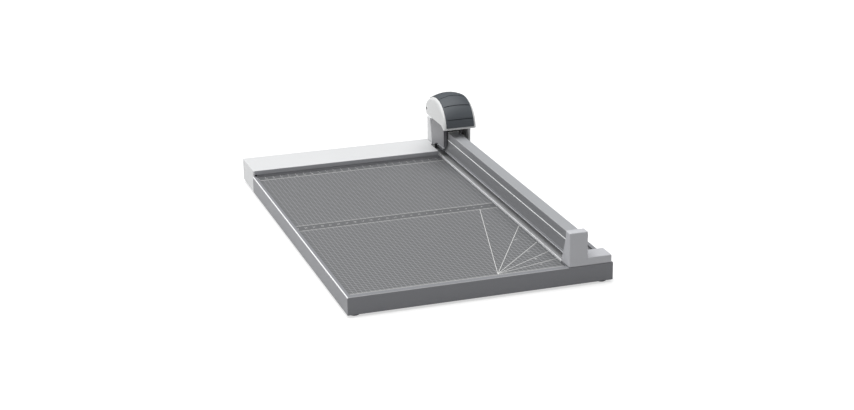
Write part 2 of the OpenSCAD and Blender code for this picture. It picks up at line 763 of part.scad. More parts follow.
// Side outline of the head, inset by t and with its arcs lowered by c, in Y and Z
function front_arc(t, c) = [for (i = [0 : outline_steps]) let (a = 90 * i / outline_steps)
  [y_head_top - (head_front_l - t) * cos(a), z_head_low + (head_h - t - c) * sin(a)]];
function rear_arc(t, c) = [for (i = [1 : outline_steps]) let (a = 90 * i / outline_steps)
  [y_head_top + (head_back_l - t) * sin(a), z_rear + (head_rear_h - t - c) * cos(a)]];
function rear_foot(t) = [for (i = [1 : 4]) let (a = 90 * i / 4)
  [y_head_rear - rear_round + (rear_round - t) * cos(a),
   z_rear - rear_round * sin(a)]];
function head_outline(t, c) = concat(front_arc(t, c), rear_arc(t, c), rear_foot(t));

// A slab of the head's side outline, of a width across X
module head_slab(t, c, w) {
  translate([x_head - w / 2, 0, 0]) rotate([90, 0, 90]) linear_extrude(w) polygon(head_outline(t, c));
}

// The crown's drop at a distance from the head's middle
function crown_drop(x) = head_crown * pow(2 * x / head_w, 2);

// The head's half widths with the inset and the crown's drop there, for a body inset by t
function head_slabs(t) = let (half = head_w / 2 - t, r = head_edge_r * (1 - t / (2 * head_wall)))
  concat([for (s = crown_shares) [s * half, head_bow * pow(s, 2), crown_drop(s * half)]],
         [for (a = [0 : edge_step : 90]) let (x = half - r + r * sin(a))
           [x, head_bow * pow(x / half, 2) + r * (1 - cos(a)), crown_drop(x)]]);

// The whole head's body, crowned and with rounded side edges, inset by t
module head_body(t) {
  hull() for (s = head_slabs(t)) head_slab(t + s[1], s[2], 2 * s[0]);
}

// Space under the head's shells that is cut away behind the chin
module chin_cut() {
  y_chin = y_head_front + chin_l;
  translate([x_head - head_w, 0, 0]) rotate([90, 0, 90]) linear_extrude(2 * head_w)
    polygon([[y_head_front + head_wall, z_head_low - over], [y_head_front + head_wall, z_head_low],
             [y_chin, z_head_edge], [y_head_rear + over, z_head_edge], [y_head_rear + over, z_head_low - over]]);
}

// Region that the grip pad covers
module pad_zone() {
  y_pad_back = y_head_rear - head_back_l * 0.24;
  span([x_head - pad_w / 2, y_head_front - head_wall, z_head_low + pad_lip],
       [x_head + pad_w / 2, y_pad_back, z_head_top + head_wall]);
}

module cover_half(side) {
  intersection() {
    difference() {
      head_body(0);
      head_body(head_wall);
      chin_cut();
      intersection() {
        pad_zone();
        difference() {
          head_body(-over);
          head_body(pad_seat);
        }
      }
    }
    if (side < 0)
      span([x_head - head_w, y_head_front - over, z_head_low - over], [x_head, y_head_rear + over, z_head_top + over]);
    else
      span([x_head, y_head_front - over, z_head_low - over], [x_head + head_w, y_head_rear + over, z_head_top + over]);
  }
}

// Bosses on the covers' inner faces, which meet the head's frame
boss_root = head_wall * 0.6;
rear_boss_inset = 6.2;
rear_boss_d = 5.4;
y_rear_boss = y_head_rear - rear_boss_inset;
x_rear_screw = x_head - head_w / 2 + screw_head_h;
rear_head_d = 4.4;
rear_screw_grip = 7;

module left_cover() {
  x_wall = x_head - head_w / 2 + boss_root;
  color([0.84, 0.84, 0.84]) difference() {
    union() {
      cover_half(-1);
      for (p = boss_places) translate([x_wall, p[0], p[1]]) rod_x(boss_d, x_head - frame_half_w - x_wall);
      translate([x_wall, y_rear_boss, z_rear]) rod_x(rear_boss_d, x_head - x_wall);
    }
    for (p = boss_places) translate([x_wall + boss_root, p[0], p[1]]) rod_x(screw_d, head_w / 2);
    translate([x_head - head_w, y_rear_boss, z_rear]) {
      rod_x(screw_d, head_w + over);
      rod_x(rear_head_d, x_rear_screw - x_head + head_w);
    }
  }
}

module right_cover() {
  x_wall = x_head + head_w / 2 - boss_root;
  color([0.84, 0.84, 0.84]) difference() {
    union() {
      cover_half(1);
      for (p = boss_places) translate([x_head + frame_half_w, p[0], p[1]])
        rod_x(boss_d, x_wall - x_head - frame_half_w);
      translate([x_head, y_rear_boss, z_rear]) rod_x(rear_boss_d, x_wall - x_head);
      // Skirt beside the rail
      span([x_skirt_out - skirt_t, y_skirt_front, z_skirt],
           [x_skirt_out, y_saddle_back, z_head_edge + head_edge_r]);
    }
    translate([x_head - over, y_rear_boss, z_rear]) rod_x(screw_d, rear_screw_grip + over);
    for (p = boss_places) {
      translate([x_head, p[0], p[1]]) rod_x(screw_d, head_w);
      translate([x_skirt_out - screw_head_h, p[0], p[1]]) rod_x(screw_head_d, head_w);
    }
    for (y = shoe_screw_places) {
      translate([x_head, y, z_shoe_screw]) rod_x(screw_d, head_w);
      translate([x_skirt_out - screw_head_h, y, z_shoe_screw]) rod_x(screw_head_d, head_w);
    }
  }
}

module press_shoe() {
  color([0.8, 0.8, 0.78]) difference() {
    union() {
      span([x_shoe, y_saddle_front + shoe_end_inset, z_shoe],
           [x_skirt_in, y_saddle_back - shoe_end_inset, saddle_low - pass_gap]);
      span([x_shoe_wall, y_saddle_front + shoe_end_inset, z_shoe],
           [x_skirt_in, y_saddle_back - shoe_end_inset, z_skirt + shoe_rise]);
    }
    for (y = shoe_screw_places) translate([x_shoe_wall - over, y, z_shoe_screw])
      rod_x(screw_d, x_skirt_in - x_shoe_wall + 2 * over);
  }
}

module shoe_screws() {
  head_x = x_skirt_out - screw_head_h;
  color([0.3, 0.3, 0.32]) for (y = shoe_screw_places) {
    translate([x_shoe_wall, y, z_shoe_screw]) rod_x(screw_d, head_x - x_shoe_wall);
    translate([head_x, y, z_shoe_screw]) rod_x(screw_head_d, screw_head_h * 0.8);
  }
}

// Plain ends of the grooves, and their places as shares of the front arc's quarter turn
groove_end = 2.4;
first_groove_share = 0.22;
groove_root_share = 0.6;
groove_span_share = 0.97;
groove_shares = [for (i = [0 : pad_grooves - 1]) first_groove_share + groove_span_share * i / (pad_grooves - 1)];

module grip_pad() {
  color([0.3, 0.33, 0.36]) difference() {
    intersection() {
      pad_zone();
      head_body(-pad_proud);
    }
    head_body(pad_seat);
    // Grooves of one depth over the crown, short of the pad's sides
    difference() {
      for (s = groove_shares) translate([x_head, y_head_top, z_head_low]) rotate([90 * (1 - s), 0, 0])
        translate([-pad_w / 2 + groove_end, -groove_w / 2, head_h * groove_root_share])
        cube([pad_w - 2 * groove_end, groove_w, head_h]);
      head_body(pad_proud / 2);
    }
  }
}

module cover_screws() {
  color([0.3, 0.3, 0.32]) {
    for (p = boss_places) {
      x_end = x_head - head_w / 2 + head_wall + over;
      x_top = x_skirt_out - screw_head_h;
      translate([x_end, p[0], p[1]]) rod_x(screw_d, x_top - x_end);
      translate([x_top, p[0], p[1]]) rod_x(screw_head_d, screw_head_h * 0.8);
    }
    translate([x_rear_screw, y_rear_boss, z_rear]) {
      rod_x(screw_d, x_head + rear_screw_grip - x_rear_screw);
      translate([-screw_head_h * 0.4, 0, 0]) rod_x(rear_head_d, screw_head_h * 0.4);
    }
  }
}

// Side outline of the blade housing, inset by t, about the blade's axle
module housing_outline(t) {
  half = housing_half - t;
  polygon(concat([for (p = housing_low_shares) [p[0] * half, p[1] * blade_r + (t > 0 ? -over : 0)]],
                 [[half, housing_rise], [-half, housing_rise]]));
  intersection() {
    circle(r = half);
    translate([-half, 0]) square([2 * half, half]);
  }
}

module housing_slab(t, x_low, x_high) {
  translate([x_low, y_blade, z_blade]) rotate([90, 0, 90]) linear_extrude(x_high - x_low) housing_outline(t);
}

module blade_housing() {
  color([0.53, 0.53, 0.55]) difference() {
    union() {
      difference() {
        housing_slab(0, x_housing, x_housing_right);
        // Room for the blade, open below
        housing_slab(housing_wall, x_housing + housing_plate, x_housing_right + over);
        span([x_housing + housing_plate, y_blade - housing_half + housing_wall, z_rim],
             [x_housing_right + over, y_blade + housing_half - housing_wall, z_blade]);
      }
      span([x_housing, y_blade - tab_half, z_blade], [x_housing + housing_plate, y_blade + tab_half, z_frame_top]);
    }
    translate([x_housing - over, y_blade, z_blade]) rod_x(axle_d, housing_plate + 2 * over);
    for (s = [-1, 1]) translate([x_housing - over, y_blade + s * tab_half / 2, z_frame_top - flange_h / 2])
      rod_x(screw_d, housing_plate + 2 * over);
  }
}

module housing_screws() {
  color([0.6, 0.6, 0.6]) for (s = [-1, 1])
    translate([x_housing, y_blade + s * tab_half / 2, z_frame_top - flange_h / 2]) {
      rod_x(screw_d, housing_plate + flange_t);
      translate([-screw_head_h, 0, 0]) rod_x(screw_head_d, screw_head_h);
    }
}

module blade_axle() {
  head_t = blade_t * 1.4;
  x_end = x_blade + blade_t + hub_flange_t + slide_fit;
  color([0.7, 0.7, 0.72]) translate([0, y_blade, z_blade]) {
    translate([x_housing, 0, 0]) rod_x(axle_d, x_end + head_t - x_housing);
    translate([x_end, 0, 0]) rod_x(axle_d * 1.7, head_t);
  }
}

module blade_hub() {
  color([0.2, 0.2, 0.22]) translate([0, y_blade, z_blade]) difference() {
    union() {
      translate([x_blade - hub_flange_t, 0, 0]) rod_x(hub_flange_d, hub_flange_t);
      translate([x_blade - hub_flange_t, 0, 0]) rod_x(hub_d, blade_t + 2 * hub_flange_t);
      translate([x_blade + blade_t, 0, 0]) rod_x(hub_flange_d, hub_flange_t);
    }
    translate([x_housing, 0, 0]) rod_x(axle_d + 2 * run_fit, 2 * housing_half);
  }
}

module rotary_blade() {
  edge_t = blade_t * 0.3;
  color([0.8, 0.8, 0.82]) translate([x_blade, y_blade, z_blade]) rotate([0, 90, 0])
    rotate_extrude($fn = 2 * $fn)
    polygon([[hub_d / 2, 0], [blade_r - blade_bevel, 0], [blade_r, blade_t - edge_t],
             [blade_r, blade_t], [hub_d / 2, blade_t]]);
}

base_frame();
table_plate();
offcut_plate();
bottom_cover();
rubber_feet();
foot_screws();
back_cover();
stop_rail();
back_cover_screws();
cutting_strip();
strip_screws();
guide_rail();
front_bracket();
back_bracket();
bracket_screws();
rail_screws();
clamp_pins();
clamp_spring_front();
clamp_spring_back();
clamp_strip();
clamp_grip();
carriage_saddle();
slide_liner();
side_liners();
roller_pins();
end_buffers();
guide_posts();
post_clips();
guide_roller_front();
guide_roller_back();
return_spring_front();
return_spring_back();
head_frame();
left_cover();
right_cover();
grip_pad();
cover_screws();
press_shoe();
shoe_screws();
blade_housing();
housing_screws();
blade_axle();
blade_hub();
rotary_blade();
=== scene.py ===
# %% [markdown]
# Rotary paper trimmer. A grey metal table with a printed grid carries a raised aluminium rail.
# A carriage with a rounded head runs along the rail, and the head holds a round blade.
# The CAD model gives every part its place. Here each visible part gets the small forms and
# the finish that the eye looks for: softened edges, paint, brushed metal, rubber and print.

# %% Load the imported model
import math

import bmesh
import bpy
from mathutils import Euler, Matrix, Vector


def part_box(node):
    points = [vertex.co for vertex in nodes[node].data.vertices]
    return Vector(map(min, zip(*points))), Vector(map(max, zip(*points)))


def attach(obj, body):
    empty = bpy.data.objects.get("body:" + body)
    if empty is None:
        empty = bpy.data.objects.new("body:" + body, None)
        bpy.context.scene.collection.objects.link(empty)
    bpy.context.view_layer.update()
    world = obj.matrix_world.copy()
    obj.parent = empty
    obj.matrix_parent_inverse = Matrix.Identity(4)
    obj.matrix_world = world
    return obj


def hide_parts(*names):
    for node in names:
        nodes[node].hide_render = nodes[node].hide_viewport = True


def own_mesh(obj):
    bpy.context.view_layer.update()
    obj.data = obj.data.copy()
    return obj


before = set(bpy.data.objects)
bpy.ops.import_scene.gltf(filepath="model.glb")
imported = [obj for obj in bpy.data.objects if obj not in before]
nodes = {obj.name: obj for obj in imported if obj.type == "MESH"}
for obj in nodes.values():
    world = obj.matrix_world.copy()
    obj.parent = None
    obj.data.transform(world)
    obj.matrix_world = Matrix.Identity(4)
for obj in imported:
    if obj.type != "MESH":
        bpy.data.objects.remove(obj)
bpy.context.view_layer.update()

MM = 0.001
print("CAD nodes:", len(nodes))

# %% [markdown]
# The camera stands where the photograph was taken: front left, about 19 degrees above the table.
# It could be pushed about by eye until the outlines meet. Here its place was worked out from
# the table's corners and is written in the trimmer's own frame, so it is right at once. The
# focal length is for a 36 mm sensor.

# %% Camera
CAMERA_PLACE = Vector((-615.2, -1886.7, 726.0)) * MM
CAMERA_DOWN = 19.364
CAMERA_TURN = 18.549
CAMERA_ROLL = -0.486
FOCAL_LENGTH = 73.58
SENSOR_WIDTH = 36


def add_camera():
    turn = Euler((0, 0, math.radians(-CAMERA_TURN))).to_matrix()
    tilt = Euler((math.radians(90 - CAMERA_DOWN), 0, 0)).to_matrix()
    roll = Euler((0, 0, math.radians(CAMERA_ROLL))).to_matrix()
    bpy.ops.object.camera_add(location=CAMERA_PLACE, rotation=(turn @ tilt @ roll).to_euler())
    camera = bpy.context.active_object
    camera.name = "camera"
    camera.data.lens = FOCAL_LENGTH
    camera.data.sensor_width = SENSOR_WIDTH
    camera.data.clip_start = 0.05
    camera.data.clip_end = 30
    bpy.context.scene.camera = camera
    print("camera", [round(v, 3) for v in camera.location])


add_camera()

# %% [markdown]
# A few modelling helpers come first. Each does by script what a hand would do in the editor.
# A click on a face or edge has no meaning in a script, so here a rule about place or direction
# picks it. An operator acts on all that is selected, so each helper first deselects the rest.

# %% Picking and editing


def activate(piece):
    """Makes one piece the only selected and active one."""
    bpy.ops.object.select_all(action="DESELECT")
    piece.select_set(True)
    bpy.context.view_layer.objects.active = piece


def open_with(piece, kind, rule):
    """Opens a piece in edit mode with the faces or edges that the rule picks."""
    activate(piece)
    bpy.ops.object.mode_set(mode="EDIT")
    bpy.ops.mesh.select_mode(type=kind)
    bpy.ops.mesh.select_all(action="DESELECT")
    bpy.ops.object.mode_set(mode="OBJECT")
    mesh = piece.data
    if kind == "FACE":
        for face in mesh.polygons:
            face.select = rule(face.center, face.normal)
    else:
        for edge in mesh.edges:
            edge.select = rule(*(mesh.vertices[i].co for i in edge.vertices))
    bpy.ops.object.mode_set(mode="EDIT")


def close():
    """Leaves edit mode."""
    bpy.ops.object.mode_set(mode="OBJECT")


def settle(piece):
    """Moves a piece's place into its mesh, as a CAD node has it."""
    activate(piece)
    bpy.ops.object.transform_apply(location=True, rotation=True, scale=True)
    return piece


# %% [markdown]
# Hard shapes start as blocks and are cut, joined and bevelled. Modifiers do this more safely
# than edit mode, because a boolean or bevel there depends on what is selected. Each one is
# applied at once, so that the next step works on real faces.

# %% Blocks, cuts and soft edges
FLAT_WEIGHT = 90


def block(name, low, high):
    """A box between two corners."""
    low, high = Vector(low), Vector(high)
    bpy.ops.object.select_all(action="DESELECT")
    bpy.ops.mesh.primitive_cube_add(size=1, location=(low + high) / 2, scale=high - low)
    piece = bpy.context.active_object
    piece.name = name
    return settle(piece)


def use(piece, kind, **settings):
    """Adds a modifier, sets it and applies it."""
    activate(piece)
    modifier = piece.modifiers.new(kind.lower(), kind)
    for key, value in settings.items():
        setattr(modifier, key, value)
    bpy.ops.object.modifier_apply(modifier=modifier.name)


def cut(piece, tool, operation="DIFFERENCE"):
    """Cuts a piece with a tool, or keeps what they share, and deletes the tool."""
    use(piece, "BOOLEAN", operation=operation, object=tool, solver="EXACT")
    bpy.data.objects.remove(tool, do_unlink=True)


def smooth(piece, angle):
    """Smooth shading, with edges sharper than the angle left sharp."""
    activate(piece)
    bpy.ops.object.shade_smooth_by_angle(angle=math.radians(angle))


def soften(piece, radius, segments=3, angle=30):
    """Rounds every edge sharper than the angle, and keeps broad faces flat to the light."""
    use(piece, "BEVEL", width=radius, segments=segments, limit_method="ANGLE",
        angle_limit=math.radians(angle), harden_normals=False)
    activate(piece)
    bpy.ops.object.shade_smooth()
    use(piece, "WEIGHTED_NORMAL", mode="FACE_AREA", weight=FLAT_WEIGHT, keep_sharp=False)


def round_edges(piece, radius):
    """Rounds the edges of a simple shape, before it is cut."""
    use(piece, "BEVEL", width=radius * MM, segments=4, limit_method="ANGLE", angle_limit=math.radians(40))


def shade_broad_faces(piece):
    """Smooth shading that keeps the broad faces flat to the light."""
    smooth(piece, 30)
    use(piece, "WEIGHTED_NORMAL", mode="FACE_AREA", weight=FLAT_WEIGHT, keep_sharp=True)


# %% [markdown]
# Where the CAD form is right, its mesh is copied rather than built again, and the copy can be
# bevelled freely. A CAD mesh is loose triangles, so the copy is merged before anything else.
# Every finished piece then rides on a body of the CAD model, which is what moves it.

# %% Copying and finishing
MERGE_DISTANCE = MM / 200
FLAT_ANGLE = 0.5


def tidy_mesh(piece):
    """Merges doubles, joins flat neighbours and turns the normals outwards."""
    activate(piece)
    bpy.ops.object.mode_set(mode="EDIT")
    bpy.ops.mesh.select_all(action="SELECT")
    bpy.ops.mesh.remove_doubles(threshold=MERGE_DISTANCE)
    bpy.ops.mesh.dissolve_limited(angle_limit=math.radians(FLAT_ANGLE))
    bpy.ops.mesh.normals_make_consistent(inside=False)
    close()


def copy_node(node, name):
    """A free copy of a CAD node's mesh, merged from its loose triangles."""
    source = nodes[node]
    piece = bpy.data.objects.new(name, source.data.copy())
    bpy.context.scene.collection.objects.link(piece)
    piece.data.materials.clear()
    activate(piece)
    if piece.data.has_custom_normals:
        bpy.ops.mesh.customdata_custom_splitnormals_clear()
    tidy_mesh(piece)
    return piece


def finish_piece(piece, body, slot, material, *replaced):
    """Gives a finished piece its body, its material and the nodes it stands for. The slot is not used."""
    piece.data.materials.clear()
    piece.data.materials.append(material)
    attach(piece, body)
    if replaced:
        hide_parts(*replaced)
    print(piece.name, len(piece.data.polygons), "faces")


# %% [markdown]
# Materials are made of nodes. Short helpers keep each recipe readable: one adds a node, one
# adds a calculation, and one mixes two colours by a mask. Colours are written as they look
# on screen, from 0 to 255, and turned into the linear values that the renderer wants.

# %% Node helpers


def shade(red, green, blue):
    """A screen colour from 0 to 255 as a linear colour."""
    def linear(value):
        part = value / 255
        return part / 12.92 if part <= 0.04045 else ((part + 0.055) / 1.055) ** 2.4
    return (linear(red), linear(green), linear(blue), 1)


def put(tree, kind, **settings):
    """A new node with its settings."""
    node = tree.nodes.new(kind)
    for key, value in settings.items():
        setattr(node, key, value)
    return node


def feed(tree, socket, source):
    """Links a socket to another, or sets its value."""
    if isinstance(source, bpy.types.NodeSocket):
        tree.links.new(source, socket)
    else:
        socket.default_value = source


def calc(tree, operation, *values, clamp=False):
    """A calculation on numbers or sockets."""
    node = put(tree, "ShaderNodeMath", operation=operation, use_clamp=clamp)
    for socket, value in zip(node.inputs, values):
        feed(tree, socket, value)
    return node.outputs[0]


def blend_colors(tree, mask, first, second):
    """The first colour where the mask is 0, and the second where it is 1."""
    node = put(tree, "ShaderNodeMix", data_type="RGBA", blend_type="MIX")
    feed(tree, node.inputs["Factor"], mask)
    feed(tree, node.inputs["A"], first)
    feed(tree, node.inputs["B"], second)
    return node.outputs["Result"]


def noise(tree, vector, scale, detail=2.0, roughness=0.5):
    """Soft noise from 0 to 1. The scale counts its waves in a metre."""
    node = put(tree, "ShaderNodeTexNoise")
    feed(tree, node.inputs["Vector"], vector)
    feed(tree, node.inputs["Scale"], scale)
    node.inputs["Detail"].default_value = detail
    node.inputs["Roughness"].default_value = roughness
    return node.outputs["Fac"]


def stretch(tree, vector, scale):
    """Coordinates scaled unevenly, which draws a pattern out along one axis."""
    node = put(tree, "ShaderNodeMapping")
    feed(tree, node.inputs["Vector"], vector)
    node.inputs["Scale"].default_value = scale
    return node.outputs["Vector"]


def remap(tree, value, low, high, to_low, to_high):
    """A value moved from one range to another."""
    node = put(tree, "ShaderNodeMapRange")
    feed(tree, node.inputs["Value"], value)
    for key, number in zip(("From Min", "From Max", "To Min", "To Max"), (low, high, to_low, to_high)):
        node.inputs[key].default_value = number
    return node.outputs["Result"]


def brighten(tree, color, factor):
    """A colour times a factor."""
    node = put(tree, "ShaderNodeVectorMath", operation="SCALE")
    feed(tree, node.inputs[0], color)
    feed(tree, node.inputs["Scale"], factor)
    return node.outputs[0]


def shift(tree, base, change, amount, way="ADD"):
    """A base value plus or minus a change times its amount, kept between 0 and 1."""
    return calc(tree, way, base, calc(tree, "MULTIPLY", change, amount), clamp=True)


# %% [markdown]
# An effect that comes back in several materials could be copied into each, but then a
# correction has to be made in each as well. A node group is built once and placed anywhere.

# %% Node groups
FLOAT = "NodeSocketFloat"
COLOR = "NodeSocketColor"
VECTOR = "NodeSocketVector"


def new_group(name, inputs, outputs):
    """A shader node group with named inputs and outputs. Inputs give a type and a default."""
    tree = bpy.data.node_groups.new(name, "ShaderNodeTree")
    for label, (kind, value) in inputs.items():
        socket = tree.interface.new_socket(name=label, in_out="INPUT", socket_type=kind)
        if value is not None:
            socket.default_value = value
    for label, kind in outputs.items():
        tree.interface.new_socket(name=label, in_out="OUTPUT", socket_type=kind)
    return tree, put(tree, "NodeGroupInput").outputs, put(tree, "NodeGroupOutput").inputs


def place_group(tree, group, **values):
    """Places a group in a tree and feeds its inputs by name."""
    node = put(tree, "ShaderNodeGroup", node_tree=group)
    for key, value in values.items():
        feed(tree, node.inputs[key], value)
    return node.outputs


# %% [markdown]
# Three effects come back in many finishes, so each is a node group that is built once.
# Speckle is the fine grain of paint and moulded plastic. Brush is the long scratch pattern of
# drawn or brushed metal. Handling is the faint cloudiness that hands and paper leave.

# %% Shared effects
CLOUD_SCALE = 14.0
CLOUD_SHARE = 0.6
FINE_SCRATCHES, FINE_SHARE = (900, 9, 900), 0.7
WIDE_SCRATCHES, WIDE_SHARE = (160, 3, 160), 0.3
HAND_SCALE, HAND_RANGE = 26.0, (0.45, 0.75, 0, 1)
PAPER_SCUFFS, SCUFF_RANGE = (40, 260, 40), (0.4, 0.8, 0.4, 1)


def build_speckle():
    tree, source, result = new_group(
        "speckle",
        {"Vector": (VECTOR, None), "Color": (COLOR, (0.5, 0.5, 0.5, 1)), "Grain": (FLOAT, 900.0),
         "Depth": (FLOAT, 0.05), "Roughness": (FLOAT, 0.5), "Spread": (FLOAT, 0.08)},
        {"Color": COLOR, "Roughness": FLOAT, "Height": FLOAT})
    fine = noise(tree, source["Vector"], source["Grain"], 3.0)
    cloud = calc(tree, "SUBTRACT", noise(tree, source["Vector"], CLOUD_SCALE, 3.0), 0.5)
    grains = calc(tree, "MULTIPLY", calc(tree, "SUBTRACT", fine, 0.5), source["Depth"])
    clouds = calc(tree, "MULTIPLY", cloud, calc(tree, "MULTIPLY", source["Depth"], CLOUD_SHARE))
    bright = calc(tree, "ADD", 1.0, calc(tree, "ADD", grains, clouds))
    feed(tree, result["Color"], brighten(tree, source["Color"], bright))
    feed(tree, result["Roughness"], shift(tree, source["Roughness"], cloud, source["Spread"]))
    feed(tree, result["Height"], fine)
    return tree


def build_brush():
    tree, source, result = new_group(
        "brush",
        {"Vector": (VECTOR, None), "Color": (COLOR, (0.7, 0.7, 0.7, 1)), "Depth": (FLOAT, 0.1),
         "Roughness": (FLOAT, 0.3), "Spread": (FLOAT, 0.15)},
        {"Color": COLOR, "Roughness": FLOAT, "Height": FLOAT})
    fine = noise(tree, stretch(tree, source["Vector"], FINE_SCRATCHES), 1.0, 3.0, 0.6)
    wide = noise(tree, stretch(tree, source["Vector"], WIDE_SCRATCHES), 1.0, 2.0)
    mixed = calc(tree, "ADD", calc(tree, "MULTIPLY", fine, FINE_SHARE),
                 calc(tree, "MULTIPLY", wide, WIDE_SHARE))
    centred = calc(tree, "SUBTRACT", mixed, 0.5)
    bright = calc(tree, "ADD", 1.0, calc(tree, "MULTIPLY", centred, source["Depth"]))
    feed(tree, result["Color"], brighten(tree, source["Color"], bright))
    feed(tree, result["Roughness"], shift(tree, source["Roughness"], centred, source["Spread"]))
    feed(tree, result["Height"], mixed)
    return tree


def build_handling():
    tree, source, result = new_group(
        "handling",
        {"Vector": (VECTOR, None), "Roughness": (FLOAT, 0.5), "Amount": (FLOAT, 0.1)},
        {"Roughness": FLOAT})
    clouds = noise(tree, source["Vector"], HAND_SCALE, 4.0, 0.6)
    scuffs = noise(tree, stretch(tree, source["Vector"], PAPER_SCUFFS), 1.0, 2.0)
    touched = calc(tree, "MULTIPLY", remap(tree, clouds, *HAND_RANGE), remap(tree, scuffs, *SCUFF_RANGE))
    feed(tree, result["Roughness"], shift(tree, source["Roughness"], touched, source["Amount"], "SUBTRACT"))
    return tree


SPECKLE = build_speckle()
BRUSH = build_brush()
HANDLING = build_handling()
print("shared effects:", [group.name for group in (SPECKLE, BRUSH, HANDLING)])

# %% [markdown]
# Some details lie at known places: printed lines, and edges that are ground bright. A picture
# of them would blur when seen close, so calculations on the coordinates say where they are.
# Each mask is 1 inside and 0 outside, and masks are combined like sets.

# %% Masks


def build_stripe():
    """A group that is 1 on lines of a width at every pitch, and 0 between them."""
    tree, source, result = new_group(
        "stripe", {"Value": (FLOAT, 0.0), "Pitch": (FLOAT, 5.0), "Width": (FLOAT, 0.4)}, {"Mask": FLOAT})
    turns = calc(tree, "DIVIDE", source["Value"], source["Pitch"])
    away = calc(tree, "ABSOLUTE", calc(tree, "SUBTRACT", turns, calc(tree, "ROUND", turns)))
    near = calc(tree, "LESS_THAN", calc(tree, "MULTIPLY", away, source["Pitch"]),
                calc(tree, "MULTIPLY", source["Width"], 0.5))
    feed(tree, result["Mask"], near)
    return tree


def build_window():
    """A group that is 1 where a value lies between two others."""
    tree, source, result = new_group(
        "window", {"Value": (FLOAT, 0.0), "Low": (FLOAT, 0.0), "High": (FLOAT, 1.0)}, {"Mask": FLOAT})
    above = calc(tree, "GREATER_THAN", source["Value"], source["Low"])
    below = calc(tree, "LESS_THAN", source["Value"], source["High"])
    feed(tree, result["Mask"], calc(tree, "MULTIPLY", above, below))
    return tree


STRIPE = build_stripe()
WINDOW = build_window()
print("mask groups:", STRIPE.name, WINDOW.name)


def stripe(tree, value, pitch, width):
    return place_group(tree, STRIPE, Value=value, Pitch=pitch, Width=width)["Mask"]


def window(tree, value, low, high):
    return place_group(tree, WINDOW, Value=value, Low=low, High=high)["Mask"]


def either(tree, *masks):
    """1 where any mask is 1."""
    total = masks[0]
    for mask in masks[1:]:
        total = calc(tree, "MAXIMUM", total, mask)
    return total


def both(tree, *masks):
    """1 where every mask is 1."""
    total = masks[0]
    for mask in masks[1:]:
        total = calc(tree, "MULTIPLY", total, mask)
    return total


def place_in_mm(tree, place):
    """The X, Y and Z of a point of the object, in millimetres."""
    split = put(tree, "ShaderNodeSeparateXYZ")
    feed(tree, split.inputs[0], place)
    return [calc(tree, "MULTIPLY", split.outputs[axis], 1 / MM) for axis in "XYZ"]


# %% [markdown]
# Most finishes follow one of two recipes, each with its own values. The coated recipe is for
# paint, plastic and rubber: a grain that barely shows, a cloudy gloss and a very shallow bump.
# The metal recipe is for drawn, ground and polished metal: long scratches along the part. One
# flat colour would be quicker, but a real surface is never the same from one end to the other.

# %% Two recipes
PAINT_GRAIN = 900.0
PAINT_DEPTH = 0.06
PAINT_BUMP = 0.02
PAINT_WEAR = 0.08
METAL_DEPTH = 0.12
METAL_BUMP = 0.004
METAL_WEAR = 0.05


def start_material(name):
    """An empty material with its shader, and the object coordinates for its patterns."""
    material = bpy.data.materials.new(name)
    material.use_nodes = True
    tree = material.node_tree
    tree.nodes.clear()
    shader = put(tree, "ShaderNodeBsdfPrincipled")
    output = put(tree, "ShaderNodeOutputMaterial")
    tree.links.new(shader.outputs[0], output.inputs["Surface"])
    place = put(tree, "ShaderNodeTexCoord").outputs["Object"]
    return material, tree, shader, place


def add_bump(tree, shader, height, distance, strength=0.6):
    """Raises the surface by a height. The distance is in millimetres."""
    bump = put(tree, "ShaderNodeBump")
    bump.inputs["Strength"].default_value = strength
    bump.inputs["Distance"].default_value = distance * MM
    feed(tree, bump.inputs["Height"], height)
    feed(tree, shader.inputs["Normal"], bump.outputs["Normal"])


def lay_speckle(tree, shader, place, color, roughness, grain, depth, bump, wear=PAINT_WEAR):
    """Gives a coated surface its gloss and bump, and returns its colour."""
    speckle = place_group(tree, SPECKLE, Vector=place, Color=color, Grain=grain, Depth=depth,
                          Roughness=roughness)
    worn = place_group(tree, HANDLING, Vector=place, Roughness=speckle["Roughness"], Amount=wear)
    feed(tree, shader.inputs["Roughness"], worn["Roughness"])
    add_bump(tree, shader, speckle["Height"], bump)
    return speckle["Color"]


def lay_brush(tree, shader, place, color, roughness):
    """Gives a metal surface its gloss and bump, and returns its colour."""
    brush = place_group(tree, BRUSH, Vector=place, Color=color, Depth=METAL_DEPTH, Roughness=roughness)
    worn = place_group(tree, HANDLING, Vector=place, Roughness=brush["Roughness"], Amount=METAL_WEAR)
    feed(tree, shader.inputs["Roughness"], worn["Roughness"])
    add_bump(tree, shader, brush["Height"], METAL_BUMP)
    return brush["Color"]


def coated(name, color, roughness, grain=PAINT_GRAIN, depth=PAINT_DEPTH, bump=PAINT_BUMP, specular=0.5):
    """Paint, plastic or rubber."""
    material, tree, shader, place = start_material(name)
    coat = lay_speckle(tree, shader, place, color, roughness, grain, depth, bump)
    feed(tree, shader.inputs["Base Color"], coat)
    shader.inputs["Specular IOR Level"].default_value = specular
    return material


def metal(name, color, roughness):
    """Drawn, ground or polished metal, with its scratches along the trimmer."""
    material, tree, shader, place = start_material(name)
    feed(tree, shader.inputs["Base Color"], lay_brush(tree, shader, place, color, roughness))
    shader.inputs["Metallic"].default_value = 1.0
    return material


# %% [markdown]
# A bright line where light catches a rounded edge is painted into the colour as a highlight.
# Thin strips of extra mesh could carry these lines, but a mask leaves the part's own mesh whole.
# The places are millimetres from a corner of the part, which is read from its CAD box.

# %% Painted edge highlights
EDGE_LINE = 1.0
FRONT_LINE = 0.5
FRONT_LINE_END = 100.0
FRONT_FAINT = 0.35
# The colour of every painted edge highlight.
HIGHLIGHT_WHITE = shade(250, 251, 252)
FRAME_SPECULAR = 0.25


